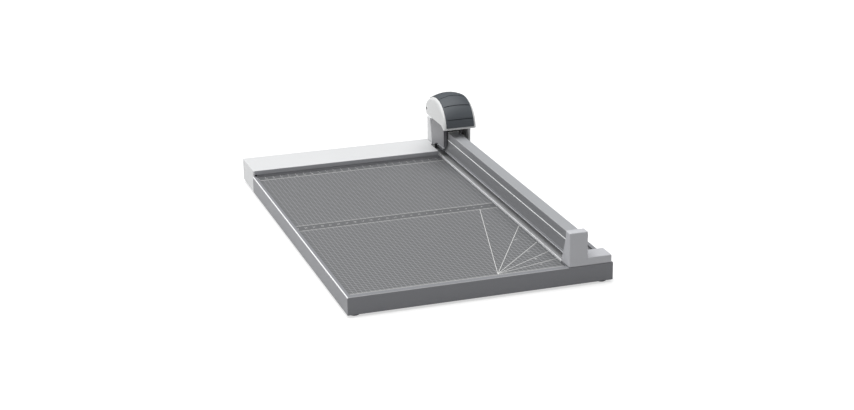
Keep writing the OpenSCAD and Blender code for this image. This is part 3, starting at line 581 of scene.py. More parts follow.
def box_mm(node):
    """The lowest and highest corner of a CAD node in millimetres."""
    return [Vector(corner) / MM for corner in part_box(node)]


frame_low, frame_high = box_mm("base_frame")
print("frame:", [round(v, 1) for v in frame_high - frame_low])


def edged_paint(name, color, roughness):
    """The frame's paint, with a painted highlight along the left wall's top edge and a faint one at the
    front.
    """
    material, tree, shader, place = start_material(name)
    x, y, z = place_in_mm(tree, place)
    # Painted highlight along the left wall's top edge.
    left = both(tree, calc(tree, "GREATER_THAN", z, frame_high.z - EDGE_LINE),
                calc(tree, "LESS_THAN", x, frame_low.x + EDGE_LINE))
    # A faint painted highlight along the front's top edge.
    front = both(tree, calc(tree, "GREATER_THAN", z, frame_high.z - FRONT_LINE),
                 calc(tree, "LESS_THAN", y, frame_low.y + FRONT_LINE),
                 calc(tree, "LESS_THAN", x, FRONT_LINE_END))
    paint = lay_speckle(tree, shader, place, color, roughness, PAINT_GRAIN, PAINT_DEPTH, PAINT_BUMP)
    toned = blend_colors(tree, calc(tree, "MULTIPLY", front, FRONT_FAINT), paint, HIGHLIGHT_WHITE)
    feed(tree, shader.inputs["Base Color"], blend_colors(tree, left, toned, HIGHLIGHT_WHITE))
    shader.inputs["Specular IOR Level"].default_value = FRAME_SPECULAR
    return material


# %% [markdown]
# The rail is drawn aluminium, and the clamp and the steel strip have ridges. All three are
# brushed metal with painted highlights in it: bright lines along edges and ridges. Where a
# line is, its colour goes up and its metallic value goes down, so it stays bright as a highlight.

# %% Metal with painted highlights
RAIL_LINE = 0.6
RAIL_LINE_FAINT = 0.2
RAIL_SIDE = 0.9
RAIL_GROOVE = 50.4
GROOVE_LINE = 1.4
RAIL_SHINE = 0.35
RIDGE = 0.6
rail_low, rail_high = box_mm("guide_rail")
print("rail:", [round(v, 1) for v in rail_high - rail_low])


def lay_lined_metal(tree, shader, place, color, roughness, metallic, line, highlight_color):
    """Brushed metal with painted highlights where the mask is 1."""
    brushed = lay_brush(tree, shader, place, color, roughness)
    feed(tree, shader.inputs["Base Color"], blend_colors(tree, line, brushed, highlight_color))
    feed(tree, shader.inputs["Metallic"], calc(tree, "MULTIPLY", calc(tree, "SUBTRACT", 1.0, line), metallic))


def rail_metal(name, lit_top_color, shaded_side_color, roughness):
    """Drawn aluminium, with its side painted darker as shade and painted highlights at the top edge and at
    the groove.
    """
    material, tree, shader, place = start_material(name)
    x, _, z = place_in_mm(tree, place)
    side = calc(tree, "LESS_THAN", x, rail_low.x + RAIL_SIDE)
    # Painted highlights: a faint one at the top edge and a bright one at the groove, on the side only.
    top_highlight = window(tree, z, rail_high.z - RAIL_LINE, rail_high.z + 1)
    groove = window(tree, z, RAIL_GROOVE - GROOVE_LINE / 2, RAIL_GROOVE + GROOVE_LINE / 2)
    line = both(tree, side, either(tree, calc(tree, "MULTIPLY", top_highlight, RAIL_LINE_FAINT), groove))
    # Painted shade: the side gets a darker colour than the top of the same aluminium.
    color = blend_colors(tree, side, lit_top_color, shaded_side_color)
    lay_lined_metal(tree, shader, place, color, roughness, RAIL_SHINE, line, HIGHLIGHT_WHITE)
    return material


def edged_metal(name, node, color, roughness, metallic, lines, highlight_color=HIGHLIGHT_WHITE):
    """Drawn metal with painted highlight lines. lines gives, for X and Z, the stretches in millimetres."""
    material, tree, shader, place = start_material(name)
    low, _ = box_mm(node)
    x, _, z = place_in_mm(tree, place)
    masks = []
    for axis, start, end in lines:
        if axis == "X":
            masks.append(window(tree, x, low.x + start, low.x + end))
        else:
            ridge = calc(tree, "LESS_THAN", x, low.x + RIDGE)
            masks.append(both(tree, ridge, window(tree, z, low.z + start, low.z + end)))
    lay_lined_metal(tree, shader, place, color, roughness, metallic, either(tree, *masks), highlight_color)
    return material


# %% [markdown]
# The round blade is ground on a lathe, so its scratches are rings. Noise that is read by the
# distance from the axis gives rings, while noise read by place would give clouds.

# %% Turned steel
RING_GREY = shade(170, 171, 175)
RING_SCALE = 3.0
RING_RANGE = (0.3, 0.7)
RING_GLOSS, RING_MATT = 0.05, 0.1
RING_BUMP = 0.003


def turned_steel(name, color, roughness, node):
    """Steel ground on a lathe: fine rings round the axis of a round node."""
    low, high = box_mm(node)
    middle = (low + high) / 2
    material, tree, shader, place = start_material(name)
    _, y, z = place_in_mm(tree, place)
    back = calc(tree, "SUBTRACT", y, middle.y)
    up = calc(tree, "SUBTRACT", z, middle.z)
    out = calc(tree, "SQRT", calc(tree, "ADD", calc(tree, "MULTIPLY", back, back),
                                  calc(tree, "MULTIPLY", up, up)))
    point = put(tree, "ShaderNodeCombineXYZ")
    feed(tree, point.inputs[0], out)
    rings = noise(tree, point.outputs[0], RING_SCALE, 3.0, 0.6)
    feed(tree, shader.inputs["Base Color"], blend_colors(tree, rings, color, RING_GREY))
    feed(tree, shader.inputs["Roughness"],
         remap(tree, rings, *RING_RANGE, roughness - RING_GLOSS, roughness + RING_MATT))
    shader.inputs["Metallic"].default_value = 1.0
    add_bump(tree, shader, rings, RING_BUMP)
    return material


# %% [markdown]
# Now each finish gets its values. Colours are those of the surface in plain light, except the
# rail's darker side, which is painted shade, and the bright lines, which are painted highlights.
# A low roughness is glossy plastic or polished steel, and a high one is matt rubber. Moulded
# plastic has a finer grain than paint, and rubber a deeper one.

# %% The trimmer's finishes
FRAME_PAINT = edged_paint("frame_paint", shade(135, 136, 140), 0.42)
STOP_PAINT = coated("stop_paint", shade(168, 169, 173), 0.45)
BRACKET_PAINT = coated("bracket_paint", shade(196, 197, 201), 0.42)
WHITE_PLASTIC = coated("white_plastic", shade(214, 215, 216), 0.42, grain=1400, specular=0.25)
SHELL_PLASTIC = coated("shell_plastic", shade(221, 222, 222), 0.38, grain=1400, specular=0.3)
HOUSING_PAINT = coated("housing_paint", shade(122, 122, 126), 0.4)
PAD_RUBBER = coated("pad_rubber", shade(74, 79, 84), 0.55, grain=2200, depth=0.2, bump=0.05, specular=0.45)
RUBBER = coated("rubber", shade(30, 30, 31), 0.75, grain=1800, depth=0.2, bump=0.05, specular=0.3)
DARK_PLASTIC = coated("dark_plastic", shade(44, 46, 50), 0.5, grain=1600)
PALE_PLASTIC = coated("pale_plastic", shade(206, 206, 203), 0.45, grain=1600)
OFFCUT_GREY = coated("offcut_grey", shade(104, 105, 107), 0.5, grain=1100)
# The rail's top and side are one aluminium; the side's darker colour is painted shade.
RAIL_ALUMINIUM = rail_metal("rail_aluminium", shade(174, 176, 179), shade(147, 148, 151), 0.5)
# The clamp's two bright lines are painted highlights on its ridges.
CLAMP_ALUMINIUM = edged_metal("clamp_aluminium", "clamp_strip", shade(176, 178, 182), 0.4, 0.4,
                              (("Z", 0.45, 1.05), ("Z", 3.4, 4.2)), shade(206, 207, 210))
# The strip's bright left edge line is a painted highlight.
STRIP_STEEL = edged_metal("strip_steel", "cutting_strip", shade(206, 207, 209), 0.34, 0.3,
                          (("X", -0.1, 0.4),))
STEEL = metal("steel", shade(206, 206, 208), 0.3)
DARK_STEEL = metal("dark_steel", shade(96, 97, 100), 0.35)
BLADE_STEEL = turned_steel("blade_steel", shade(232, 233, 236), 0.18, "rotary_blade")
print("materials in the file:", len(bpy.data.materials))

# %% [markdown]
# The frame is folded and painted metal. Its CAD form is right and only too sharp: a real
# edge has a small radius that catches the light. It could be built again from a box, but its
# mesh can also be copied, merged and bevelled, and then it stays true to the CAD. Fourteen
# other parts are made in the same way, each with the radius that its material has.

# %% Parts that only need softer edges
SOFT_COPIES = (
    ("base_frame", "table_frame", "base", "frame_paint", FRAME_PAINT, 0.9),
    ("stop_rail", "paper_stop", "base", "stop_paint", STOP_PAINT, 0.3),
    ("bottom_cover", "base_plate", "base", "dark_plastic", DARK_PLASTIC, 0.4),
    ("offcut_plate", "offcut_table", "base", "table_print", OFFCUT_GREY, 0.25),
    ("rubber_feet", "feet", "base", "rubber", RUBBER, 0.6),
    ("guide_rail", "rail_extrusion", "base", "aluminium", RAIL_ALUMINIUM, 0.35),
    ("clamp_strip", "clamp_bar", "clamp", "aluminium", CLAMP_ALUMINIUM, 0.25),
    ("cutting_strip", "counter_knife", "base", "steel", STRIP_STEEL, 0.12),
    ("carriage_saddle", "saddle", "carriage", "dark_plastic", DARK_PLASTIC, 0.4),
    ("slide_liner", "rail_liner", "carriage", "pale_plastic", PALE_PLASTIC, 0.15),
    ("end_buffers", "buffers", "carriage", "rubber", RUBBER, 0.5),
    ("head_frame", "inner_frame", "head", "dark_plastic", DARK_PLASTIC, 0.4),
    ("press_shoe", "press_shoe_block", "head", "pale_plastic", PALE_PLASTIC, 0.3),
    ("blade_housing", "blade_guard", "head", "housing_paint", HOUSING_PAINT, 0.35),
    ("blade_hub", "hub", "blade", "dark_plastic", DARK_PLASTIC, 0.2),
)

for node, name, body, slot, material, radius in SOFT_COPIES:
    piece = copy_node(node, name)
    soften(piece, radius * MM)
    finish_piece(piece, body, slot, material, node)


# %% [markdown]
# The table is a thin grey plate with a printed pattern: squares of 5 mm, a ruler band across
# it with a mark each 5 mm, a second ruler at the stop, and a fan of lines every 15 degrees.
# A print has no thickness, so it is drawn by the material from the plate's own coordinates,
# measured in millimetres from the cutting line and from the paper stop.

# %% Printed pattern
TABLE_GREY = shade(99, 100, 102)
PRINT_GREY = shade(165, 166, 167)
PRINT_WHITE = shade(236, 236, 234)
GRID = 5.0
ACROSS_WIDTH = 0.5
BACK_WIDTH = 0.8
BORDER_WIDTH = 1.0
BAND_LOW, BAND_HIGH = 193.8, 211.1
BAND_TICK = 2.2
TOP_RULER = 13.4
GRID_FRONT = 417.9
GRID_RIGHT = 3.0
GRID_LEFT = 0.8
MARK_PITCH, MARK_WIDTH, MARK_LENGTH = 1.0, 0.22, 3.2
TENS, TEN_WIDTH, TEN_LENGTH = 10.0, 0.3, 5.2
FAINT_INK = 0.75
BORDER_INK = 0.6

cut_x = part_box("cutting_strip")[0][0] / MM
stop_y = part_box("back_cover")[0][1] / MM
plate_low, plate_high = box_mm("table_plate")
print("table plate:", [round(v, 1) for v in plate_high - plate_low])

# %% [markdown]
# The fan's lines all start at one point on the front edge. A line at an angle is where the
# distance square to it is nearly 0, so each one costs only a few calculations.

# %% Angle fan
FAN_PLACE = (80.2, 415.4)
FAN_LENGTH = 211.0
FAN_STEPS = 5
FAN_STEP = 15.0
FAN_WIDTH = 0.5
FAN_SPARE = 0.2
print("fan:", [FAN_STEP * step for step in range(1, FAN_STEPS + 1)], "degrees")


def fan_mask(tree, across, back):
    """Lines that start at one point on the front edge, 15 degrees apart."""
    along = calc(tree, "SUBTRACT", FAN_PLACE[0], across)
    away = calc(tree, "SUBTRACT", FAN_PLACE[1], back)
    length = calc(tree, "SQRT", calc(tree, "ADD", calc(tree, "MULTIPLY", along, along),
                                     calc(tree, "MULTIPLY", away, away)))
    inside = both(tree, calc(tree, "GREATER_THAN", along, -FAN_SPARE), calc(tree, "GREATER_THAN", away, 0.0),
                  calc(tree, "LESS_THAN", length, FAN_LENGTH))
    lines = []
    for step in range(1, FAN_STEPS + 1):
        angle = math.radians(FAN_STEP * step)
        side = calc(tree, "SUBTRACT", calc(tree, "MULTIPLY", along, math.cos(angle)),
                    calc(tree, "MULTIPLY", away, math.sin(angle)))
        lines.append(calc(tree, "LESS_THAN", calc(tree, "ABSOLUTE", side), FAN_WIDTH / 2))
    return both(tree, either(tree, *lines), inside)


# %% [markdown]
# The grid, the two rulers, their borders and the fan come together in one material. Faint
# lines are mixed in first, and the bright ones over them.

# %% The printed table


def table_print():
    """The plate's grey with its print, measured from the cutting line and the paper stop."""
    material, tree, shader, place = start_material("table_print")
    x, y, _ = place_in_mm(tree, place)
    across = calc(tree, "SUBTRACT", cut_x, x)
    back = calc(tree, "SUBTRACT", stop_y, y)
    columns = stripe(tree, across, GRID, ACROSS_WIDTH)
    rows = stripe(tree, back, GRID, BACK_WIDTH)
    printed_width = window(tree, across, GRID_RIGHT, cut_x - plate_low.x - GRID_LEFT)
    in_band = window(tree, back, BAND_LOW, BAND_HIGH)
    grid = both(tree, either(tree, columns, rows), window(tree, back, TOP_RULER, GRID_FRONT),
                printed_width, calc(tree, "SUBTRACT", 1.0, in_band))
    band_ticks = both(tree, columns, either(tree, window(tree, back, BAND_LOW, BAND_LOW + BAND_TICK),
                                            window(tree, back, BAND_HIGH - BAND_TICK, BAND_HIGH)))
    top_marks = both(tree, stripe(tree, across, MARK_PITCH, MARK_WIDTH), window(tree, back, 0.0, MARK_LENGTH))
    top_tens = both(tree, stripe(tree, across, TENS, TEN_WIDTH), window(tree, back, 0.0, TEN_LENGTH))
    borders = [window(tree, back, line - BORDER_WIDTH / 2, line + BORDER_WIDTH / 2)
               for line in (TOP_RULER, BAND_LOW, BAND_HIGH, GRID_FRONT)]
    border = calc(tree, "MULTIPLY", both(tree, either(tree, *borders), printed_width), BORDER_INK)
    faint = calc(tree, "MULTIPLY", either(tree, grid, top_marks, band_ticks), FAINT_INK)
    bright = either(tree, border, top_tens, fan_mask(tree, across, back))
    plate = lay_speckle(tree, shader, place, TABLE_GREY, roughness=0.5, grain=1100.0, depth=0.05,
                        bump=0.015, wear=0.12)
    printed = blend_colors(tree, faint, plate, PRINT_GREY)
    feed(tree, shader.inputs["Base Color"], blend_colors(tree, bright, printed, PRINT_WHITE))
    return material


table = copy_node("table_plate", "printed_table")
soften(table, 0.25 * MM, segments=2)
finish_piece(table, "base", "table_print", table_print(), "table_plate")

# %% [markdown]
# The rulers' numbers and the fan's angles are printed too. Digits are hard to draw with
# calculations, so each number is a flat text object 0.02 mm above the plate. It is turned into
# a mesh, and all are joined into one piece.

# %% Ruler numbers
BAND_NUMBER = 3.4
SMALL_NUMBER = 3.0
NUMBER_LIFT = 0.02
TOP_NUMBERS = 8.6
FAN_NUMBER_SIDE = 3.4
FAN_NUMBER_SHARE = 0.8
FAN_MARGIN = 12.0


def add_number(text, place, size, turn=0.0):
    """A number's mesh, centred on a place of the plate."""
    bpy.ops.object.select_all(action="DESELECT")
    bpy.ops.object.text_add(location=(place[0] * MM, place[1] * MM, (plate_high.z + NUMBER_LIFT) * MM),
                            rotation=(0, 0, math.radians(turn)))
    number = bpy.context.active_object
    number.data.body = text
    number.data.size = size * MM
    number.data.align_x = "CENTER"
    number.data.align_y = "CENTER"
    number.data.resolution_u = 3
    bpy.ops.object.convert(target="MESH")
    return settle(number)


def join(name, pieces):
    """Joins pieces into one."""
    bpy.ops.object.select_all(action="DESELECT")
    for piece in pieces:
        piece.select_set(True)
    bpy.context.view_layer.objects.active = pieces[0]
    if len(pieces) > 1:
        bpy.ops.object.join()
    whole = bpy.context.active_object
    whole.name = name
    return settle(whole)


def ruler_numbers():
    """The numbers of both rulers, and the angle beside each line of the fan."""
    count = int((cut_x - plate_low.x) // TENS)
    rows = ((stop_y - (BAND_LOW + BAND_HIGH) / 2, BAND_NUMBER), (stop_y - TOP_NUMBERS, SMALL_NUMBER))
    numbers = [add_number(str(n), (cut_x - TENS * n, y), size)
               for y, size in rows for n in range(1, count + 1)]
    for step in range(1, FAN_STEPS + 1):
        angle = math.radians(FAN_STEP * step)
        reach = min(FAN_LENGTH - FAN_MARGIN, (FAN_PLACE[0] - FAN_MARGIN) / math.sin(angle)) * FAN_NUMBER_SHARE
        x = cut_x - FAN_PLACE[0] + math.sin(angle) * reach + FAN_NUMBER_SIDE * math.cos(angle)
        y = stop_y - FAN_PLACE[1] + math.cos(angle) * reach - FAN_NUMBER_SIDE * math.sin(angle)
        numbers.append(add_number(str(int(FAN_STEP * step)), (x, y), SMALL_NUMBER, -FAN_STEP * step))
    return join("ruler_numbers", numbers)


finish_piece(ruler_numbers(), "base", "table_print", coated("number_print", PRINT_WHITE, 0.5))

# %% [markdown]
# The head is a crowned half barrel. Its side outline is two quarter arcs over a small round
# heel. A cylinder could be scaled and cut, but its top would stay straight from side to side.
# So a filled circle takes the outline and is extruded across in steps: each step follows the
# crown, and the last ones turn round the side edge.

# %% The head's form
HEAD_FRONT = 38.0
HEAD_REAR_DROP = 27.0
CROWN_FLAT = 0.27
CROWN = 6.4 - CROWN_FLAT
BOW = 0.5
EDGE_RADIUS = 2.6
SHELL_WALL = 3.2
CHIN = 13.0
PAD_PROUD = 0.7
PAD_SEAT = 1.4
FRONT_STEPS, REAR_STEPS, HEEL_STEPS = 22, 18, 5
HEEL_LIFT = 4.0
EDGE_TURN = (90, 72, 54, 36, 18)
SIDE_SHARES = (0.86, 0.66, 0.44, 0.22)
PAD_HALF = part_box("grip_pad")[1][0] / MM
shell_low, shell_high = box_mm("left_cover")
head_x = shell_high.x
head_half = head_x - shell_low.x
head_front = shell_low.y
head_rear = shell_high.y
head_low = shell_low.z
head_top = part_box("grip_pad")[1][2] / MM - PAD_PROUD
head_crest = head_front + HEAD_FRONT
rear_drop = HEAD_REAR_DROP - CROWN_FLAT
rear_level = head_top - rear_drop
saddle_low, saddle_high = box_mm("carriage_saddle")
head_edge = head_low + HEEL_LIFT
heel = rear_level - head_edge


def quarter(center, radii, first, last, steps):
    """Points on part of an ellipse, as (y, z)."""
    angles = [math.radians(first + (last - first) * i / steps) for i in range(steps + 1)]
    return [(center[0] - radii[0] * math.cos(a), center[1] + radii[1] * math.sin(a)) for a in angles]


def head_outline(inset, crown=0.0, drop=0.0):
    """The head's side outline as (y, z), inset, with the top lowered by the crown.

    A drop takes the lower edge further down, so that a tool passes right through.
    """
    front_rise = head_top - head_low - inset - crown
    rear_rise = rear_drop - inset - crown
    front = quarter((head_crest, head_low), (HEAD_FRONT - inset, front_rise), 0, 90, FRONT_STEPS)
    rear = quarter((head_crest, rear_level), (head_rear - head_crest - inset, rear_rise),
                   90, 180, REAR_STEPS)
    foot = quarter((head_rear - heel, rear_level), (heel - inset, heel), 180, 270, HEEL_STEPS)
    if drop:
        flat = head_low - drop
        return [(head_front + inset, flat)] + front + rear[1:] + foot[1:] + [(head_rear - heel, flat)]
    chin = [(head_front + CHIN, head_edge), (head_front + max(SHELL_WALL, inset + 1), head_low)]
    return front + rear[1:] + foot[1:] + chin


def head_stations(half, radius):
    """Places across the head as (x, inset, crown): first the edge's turn, then the rest."""
    turn = [math.radians(a) for a in EDGE_TURN]
    side = [(half - radius + radius * math.sin(a), radius * (1 - math.cos(a))) for a in turn]
    side += [(half * share, 0.0) for share in SIDE_SHARES]
    side = [(x, round_in + BOW * (x / half) ** 2, CROWN * (x / head_half) ** 2) for x, round_in in side]
    return [(-x, *rest) for x, *rest in side] + [(0.0, 0.0, 0.0)] + side[::-1]


def loft(name, loops):
    """A filled circle set on the first loop and extruded from loop to loop."""
    bpy.ops.object.select_all(action="DESELECT")
    bpy.ops.mesh.primitive_circle_add(vertices=len(loops[0]), radius=MM, fill_type="NGON")
    piece = bpy.context.active_object
    piece.name = name
    settle(piece)
    for vert, point in zip(piece.data.vertices, loops[0]):
        vert.co = point
    bpy.ops.object.mode_set(mode="EDIT")
    bpy.ops.mesh.select_all(action="SELECT")
    for before, after in zip(loops, loops[1:]):
        bpy.ops.mesh.extrude_region_move()
        edit = bmesh.from_edit_mesh(piece.data)
        for vert in [v for v in edit.verts if v.select]:
            nearest = min(range(len(before)), key=lambda i: (before[i] - vert.co).length_squared)
            vert.co = after[nearest]
        bmesh.update_edit_mesh(piece.data)
    bpy.ops.mesh.select_all(action="SELECT")
    bpy.ops.mesh.normals_make_consistent(inside=False)
    close()
    return piece


def head_solid(name, inset, half, drop=0.0):
    """The head's form, inset all round, up to half its width on each side of the middle."""
    radius = EDGE_RADIUS * (1 - inset / (2 * SHELL_WALL))
    loops = [[Vector((head_x + x, y, z)) * MM for y, z in head_outline(inset + more, crown, drop)]
             for x, more, crown in head_stations(half, radius)]
    return loft(name, loops)


print("head, front to rear and low to top:", round(head_rear - head_front, 1), round(head_top - head_low, 1))

# %% [markdown]
# Each cover is half of that form, hollow, open below, with a shallow seat for the pad. A
# Solidify modifier would give the wall too, but not the seat. So the form is cut by a smaller
# copy of itself, by the pad's seat, and by the middle plane.

# %% Covers
PAD_LIP = 2.6
PAD_BACK = head_rear - 9.4
SEAM = 0.06
DROP = 2.0
SEAT_TOP = 1.0
SEAT_GAP = 0.1
ZONE_SPARE = 4.0
HALF_REACH, HALF_ENDS, HALF_TOP = 60.0, 20.0, 200.0


def pad_zone(name, spare):
    """A block over the part of the head that the pad covers."""
    half = PAD_HALF - head_x + spare
    return block(name, Vector((head_x - half, head_front - ZONE_SPARE, head_low + PAD_LIP - spare)) * MM,
                 Vector((head_x + half, PAD_BACK + spare, head_top + ZONE_SPARE)) * MM)


def pad_ring(name, outer, inner, spare):
    """The curved layer between two insets, over the pad's part of the head."""
    ring = head_solid(name, outer, head_half - outer, DROP)
    cut(ring, pad_zone("zone", spare), "INTERSECT")
    cut(ring, head_solid("core", inner, head_half - inner, 2 * DROP))
    return ring


def cover(name, side):
    """One shell. side is -1 for the left one and 1 for the right one."""
    shell = head_solid(name, 0.0, head_half)
    cut(shell, head_solid("hollow", SHELL_WALL, head_half - SHELL_WALL, 3 * DROP))
    cut(shell, pad_ring("seat", -SEAT_TOP, PAD_SEAT, SEAT_GAP))
    inner, outer = sorted((head_x + side * SEAM, head_x + side * HALF_REACH))
    half_space = block("half", Vector((inner, head_front - HALF_ENDS, 0)) * MM,
                       Vector((outer, head_rear + HALF_ENDS, HALF_TOP)) * MM)
    cut(shell, half_space, "INTERSECT")
    return shell


left_cover = cover("left_shell", -1)
right_cover = cover("right_shell", 1)
print("covers:", len(left_cover.data.polygons), len(right_cover.data.polygons))

# %% [markdown]
# The right cover also has a skirt that reaches down beside the rail, and sunk places for its
# screws. The places could be typed in, but then they would be wrong after a change in the CAD.
# So they are read from the CAD screws: each loose solid of the node is measured.

# %% Measuring and drilling


def solids_of(node):
    """The lowest and highest corner of each separate solid in a CAD node."""
    whole = copy_node(node, "measured")
    activate(whole)
    bpy.ops.object.mode_set(mode="EDIT")
    bpy.ops.mesh.separate(type="LOOSE")
    close()
    boxes = []
    for piece in list(bpy.context.selected_objects):
        points = [v.co for v in piece.data.vertices]
        boxes.append((Vector([min(p[i] for p in points) for i in range(3)]),
                      Vector([max(p[i] for p in points) for i in range(3)])))
        bpy.data.objects.remove(piece, do_unlink=True)
    return sorted(boxes, key=lambda box: tuple(round(v, 5) for v in box[0]))


def rod(name, place, radius, length, axis="X", vertices=40):
    """A cylinder that starts at a place and runs along an axis."""
    turn = {"X": (0, math.radians(90), 0), "Y": (math.radians(-90), 0, 0), "Z": (0, 0, 0)}[axis]
    along = {"X": Vector((1, 0, 0)), "Y": Vector((0, 1, 0)), "Z": Vector((0, 0, 1))}[axis]
    bpy.ops.object.select_all(action="DESELECT")
    bpy.ops.mesh.primitive_cylinder_add(vertices=vertices, radius=radius, depth=length,
                                        location=Vector(place) + along * length / 2, rotation=turn)
    piece = bpy.context.active_object
    piece.name = name
    return settle(piece)


# %% [markdown]
# The skirt is a plate with rounded upright edges, joined to the shell while both are simple.
# The shell is drilled after that, so that the sinks go through the skirt as well.

# %% Skirt and screw places
SKIRT_WALL = 3.6
SKIRT_EDGE = 1.2
SKIRT_FRONT = 4.5
SKIRT_OVERLAP = 3.0
UPRIGHT = 10.0
SCREW_HEAD = 2.8
SCREW_SINK = 2.0
SINK_GAP = 0.15
SINK_SHARE = 0.8
SINK_LENGTH = 12.0
SIDE_SCREW = 15.0
REAR_SINK = 2.35
REAR_SINK_START = 10.0
skirt_low, skirt_high = box_mm("right_cover")


def add_skirt(shell):
    """Joins the skirt to the right shell and sinks its screws."""
    skirt = block("skirt", Vector((skirt_high.x - SKIRT_WALL, saddle_low.y - SKIRT_FRONT, skirt_low.z)) * MM,
                  Vector((skirt_high.x, saddle_high.y, head_edge + SKIRT_OVERLAP)) * MM)
    open_with(skirt, "EDGE", lambda a, b: abs(a.z - b.z) > UPRIGHT * MM)
    bpy.ops.mesh.bevel(offset=SKIRT_EDGE * MM, segments=4, affect="EDGES")
    close()
    cut(shell, skirt, "UNION")
    for node in ("cover_screws", "shoe_screws"):
        for low, high in solids_of(node):
            if high.x / MM > head_x + SIDE_SCREW:
                middle = (low + high) / 2
                cut(shell, rod("sink", (high.x - SCREW_SINK * MM * SINK_SHARE, middle.y, middle.z),
                               (SCREW_HEAD + SINK_GAP) * MM, SINK_LENGTH * MM))


def add_rear_screw_place(shell):
    """Sinks the one screw that shows at the rear."""
    low, high = solids_of("cover_screws")[0]
    middle = (low + high) / 2
    cut(shell, rod("sink", (shell_low.x * MM - REAR_SINK_START * MM, middle.y, middle.z), REAR_SINK * MM,
                   REAR_SINK_START * MM + SCREW_SINK * MM))


add_skirt(right_cover)
add_rear_screw_place(left_cover)
for shell, node in ((left_cover, "left_cover"), (right_cover, "right_cover")):
    tidy_mesh(shell)
    soften(shell, 0.3 * MM, segments=2, angle=40)
    finish_piece(shell, "head", "shell_plastic", SHELL_PLASTIC, node)


# %% [markdown]
# The grip pad is a soft rubber layer set into the covers. Grooves cross it, square to its
# surface. A thinner layer of the same form, crossed with thin plates, gives the groove cutter,
# so every groove keeps one depth over the crown.

# %% Grip pad
GROOVE_ANGLES = (19.8, 48.9, 78.0, 107.1)
GROOVE_WIDTH = 1.1
GROOVE_DEPTH = 1.1
GROOVE_END = 1.6
PLATE_IN, PLATE_OUT = 20.0, 60.0
PAD_FIT = 0.05
GROOVE_TOP = 2.0


def groove_plates():
    """Thin plates that stand square to the pad at every groove."""
    plates = []
    for angle in GROOVE_ANGLES:
        plate = block("plate", Vector((-PAD_HALF + head_x + GROOVE_END, -PLATE_OUT, -GROOVE_WIDTH / 2)) * MM,
                      Vector((PAD_HALF - head_x - GROOVE_END, -PLATE_IN, GROOVE_WIDTH / 2)) * MM)
        turn = Matrix.Rotation(math.radians(-angle), 4, "X")
        plate.matrix_world = Matrix.Translation(Vector((head_x, head_crest, head_low)) * MM) @ turn
        plates.append(settle(plate))
    return join("plates", plates)


def grip_pad():
    pad = pad_ring("ribbed_pad", -PAD_PROUD, PAD_SEAT - PAD_FIT, -SEAT_GAP)
    grooves = pad_ring("grooves", -GROOVE_TOP, GROOVE_DEPTH - PAD_PROUD, SEAT_TOP)
    cut(grooves, groove_plates(), "INTERSECT")
    cut(pad, grooves)
    tidy_mesh(pad)
    soften(pad, 0.28 * MM, segments=2, angle=40)
    return pad


finish_piece(grip_pad(), "head", "pad_rubber", PAD_RUBBER, "grip_pad")

# %% [markdown]
# Both brackets are one cast form, a post that flares towards the table and a low step beside
# it, with a pocket for the rail. The post is extruded from its side outline. Post and step are
# rounded while they are simple and only then joined, because a bevel in the inner corner
# between them would throw up a fin. The back one is the same form turned end for end.

# %% Brackets
BRACKET_WALL = 3.5
POST_TOP_LENGTH = 11.8
BRACKET_RADIUS = 1.3
RAIL_END_WALL = 3.0
CLAMP_ROOM = 0.35
FLARE_FOOT = 0.05
FLARE_RISE = 0.79
FLARE_CURVE = 1.2
FLARE_LEVELS = (0.15, 0.3, 0.45, 0.6, 0.75, 0.9, 1.0)
STEP_HEIGHT = 9.4
STEP_OVERLAP = 2.0
POCKET_PAST = 5.0
POCKET_BELOW = 2.0


def post_outline(foot):
    """The post's side outline: millimetres back from its outer end, and shares of its height."""
    flare = [(foot, 0.0), (foot, FLARE_FOOT)]
    for h in FLARE_LEVELS:
        reach = POST_TOP_LENGTH + (foot - POST_TOP_LENGTH) * (1 - h) ** FLARE_CURVE
        flare.append((reach, FLARE_FOOT + FLARE_RISE * h))
    return flare + [(POST_TOP_LENGTH, 1.0), (0.0, 1.0), (0.0, 0.0)]


def bracket(name, node, towards):
    """A bracket whose outer end lies at the table's end. towards is 1 or -1 along Y."""
    low, high = box_mm(node)
    outer = low.y if towards > 0 else high.y
    foot = high.y - low.y
    height = high.z - low.z
    post_right = rail_high.x + BRACKET_WALL
    loops = [[Vector((x, outer + towards * y, low.z + height * z)) * MM for y, z in post_outline(foot)]
             for x in (low.x, post_right)]
    post = loft(name, loops)
    tidy_mesh(post)
    step_ends = sorted((outer, outer + towards * foot))
    step = block("step", Vector((post_right - STEP_OVERLAP, step_ends[0], low.z)) * MM,
                 Vector((high.x, step_ends[1], low.z + STEP_HEIGHT)) * MM)
    for shape in (post, step):
        round_edges(shape, BRACKET_RADIUS)
    cut(post, step, "UNION")
    ends = sorted((outer + towards * RAIL_END_WALL, outer + towards * (foot + POCKET_PAST)))
    for room, top in ((0.0, rail_high.z), (CLAMP_ROOM, rail_low.z)):
        cut(post, block("pocket", Vector((rail_low.x - room, ends[0], low.z - POCKET_BELOW)) * MM,
                        Vector((rail_high.x + room, ends[1], top)) * MM))
    shade_broad_faces(post)
    return post


for name, node, towards, slot, material in (
        ("front_post", "front_bracket", 1, "bracket_paint", BRACKET_PAINT),
        ("back_post", "back_bracket", -1, "white_plastic", WHITE_PLASTIC)):
    finish_piece(bracket(name, node, towards), "base", slot, material, node)


# %% [markdown]
# The white bar across the back is a moulded cover with soft edges. It wraps the frame's left
# and back walls. A copy of the CAD part could be bevelled, but its thin inner walls leave no
# room for the radius. So it starts as a box, is rounded while it is still simple, and is then
# hollowed over the frame.

# %% Back bar
bar_low, bar_high = box_mm("back_cover")
_, stop_high = box_mm("stop_rail")
BAR_RADIUS = 1.2
BAR_WALL = 2.2
TAIL_OVERLAP = 4.0
TAIL_DEPTH = 23.5
PAST = 3.0


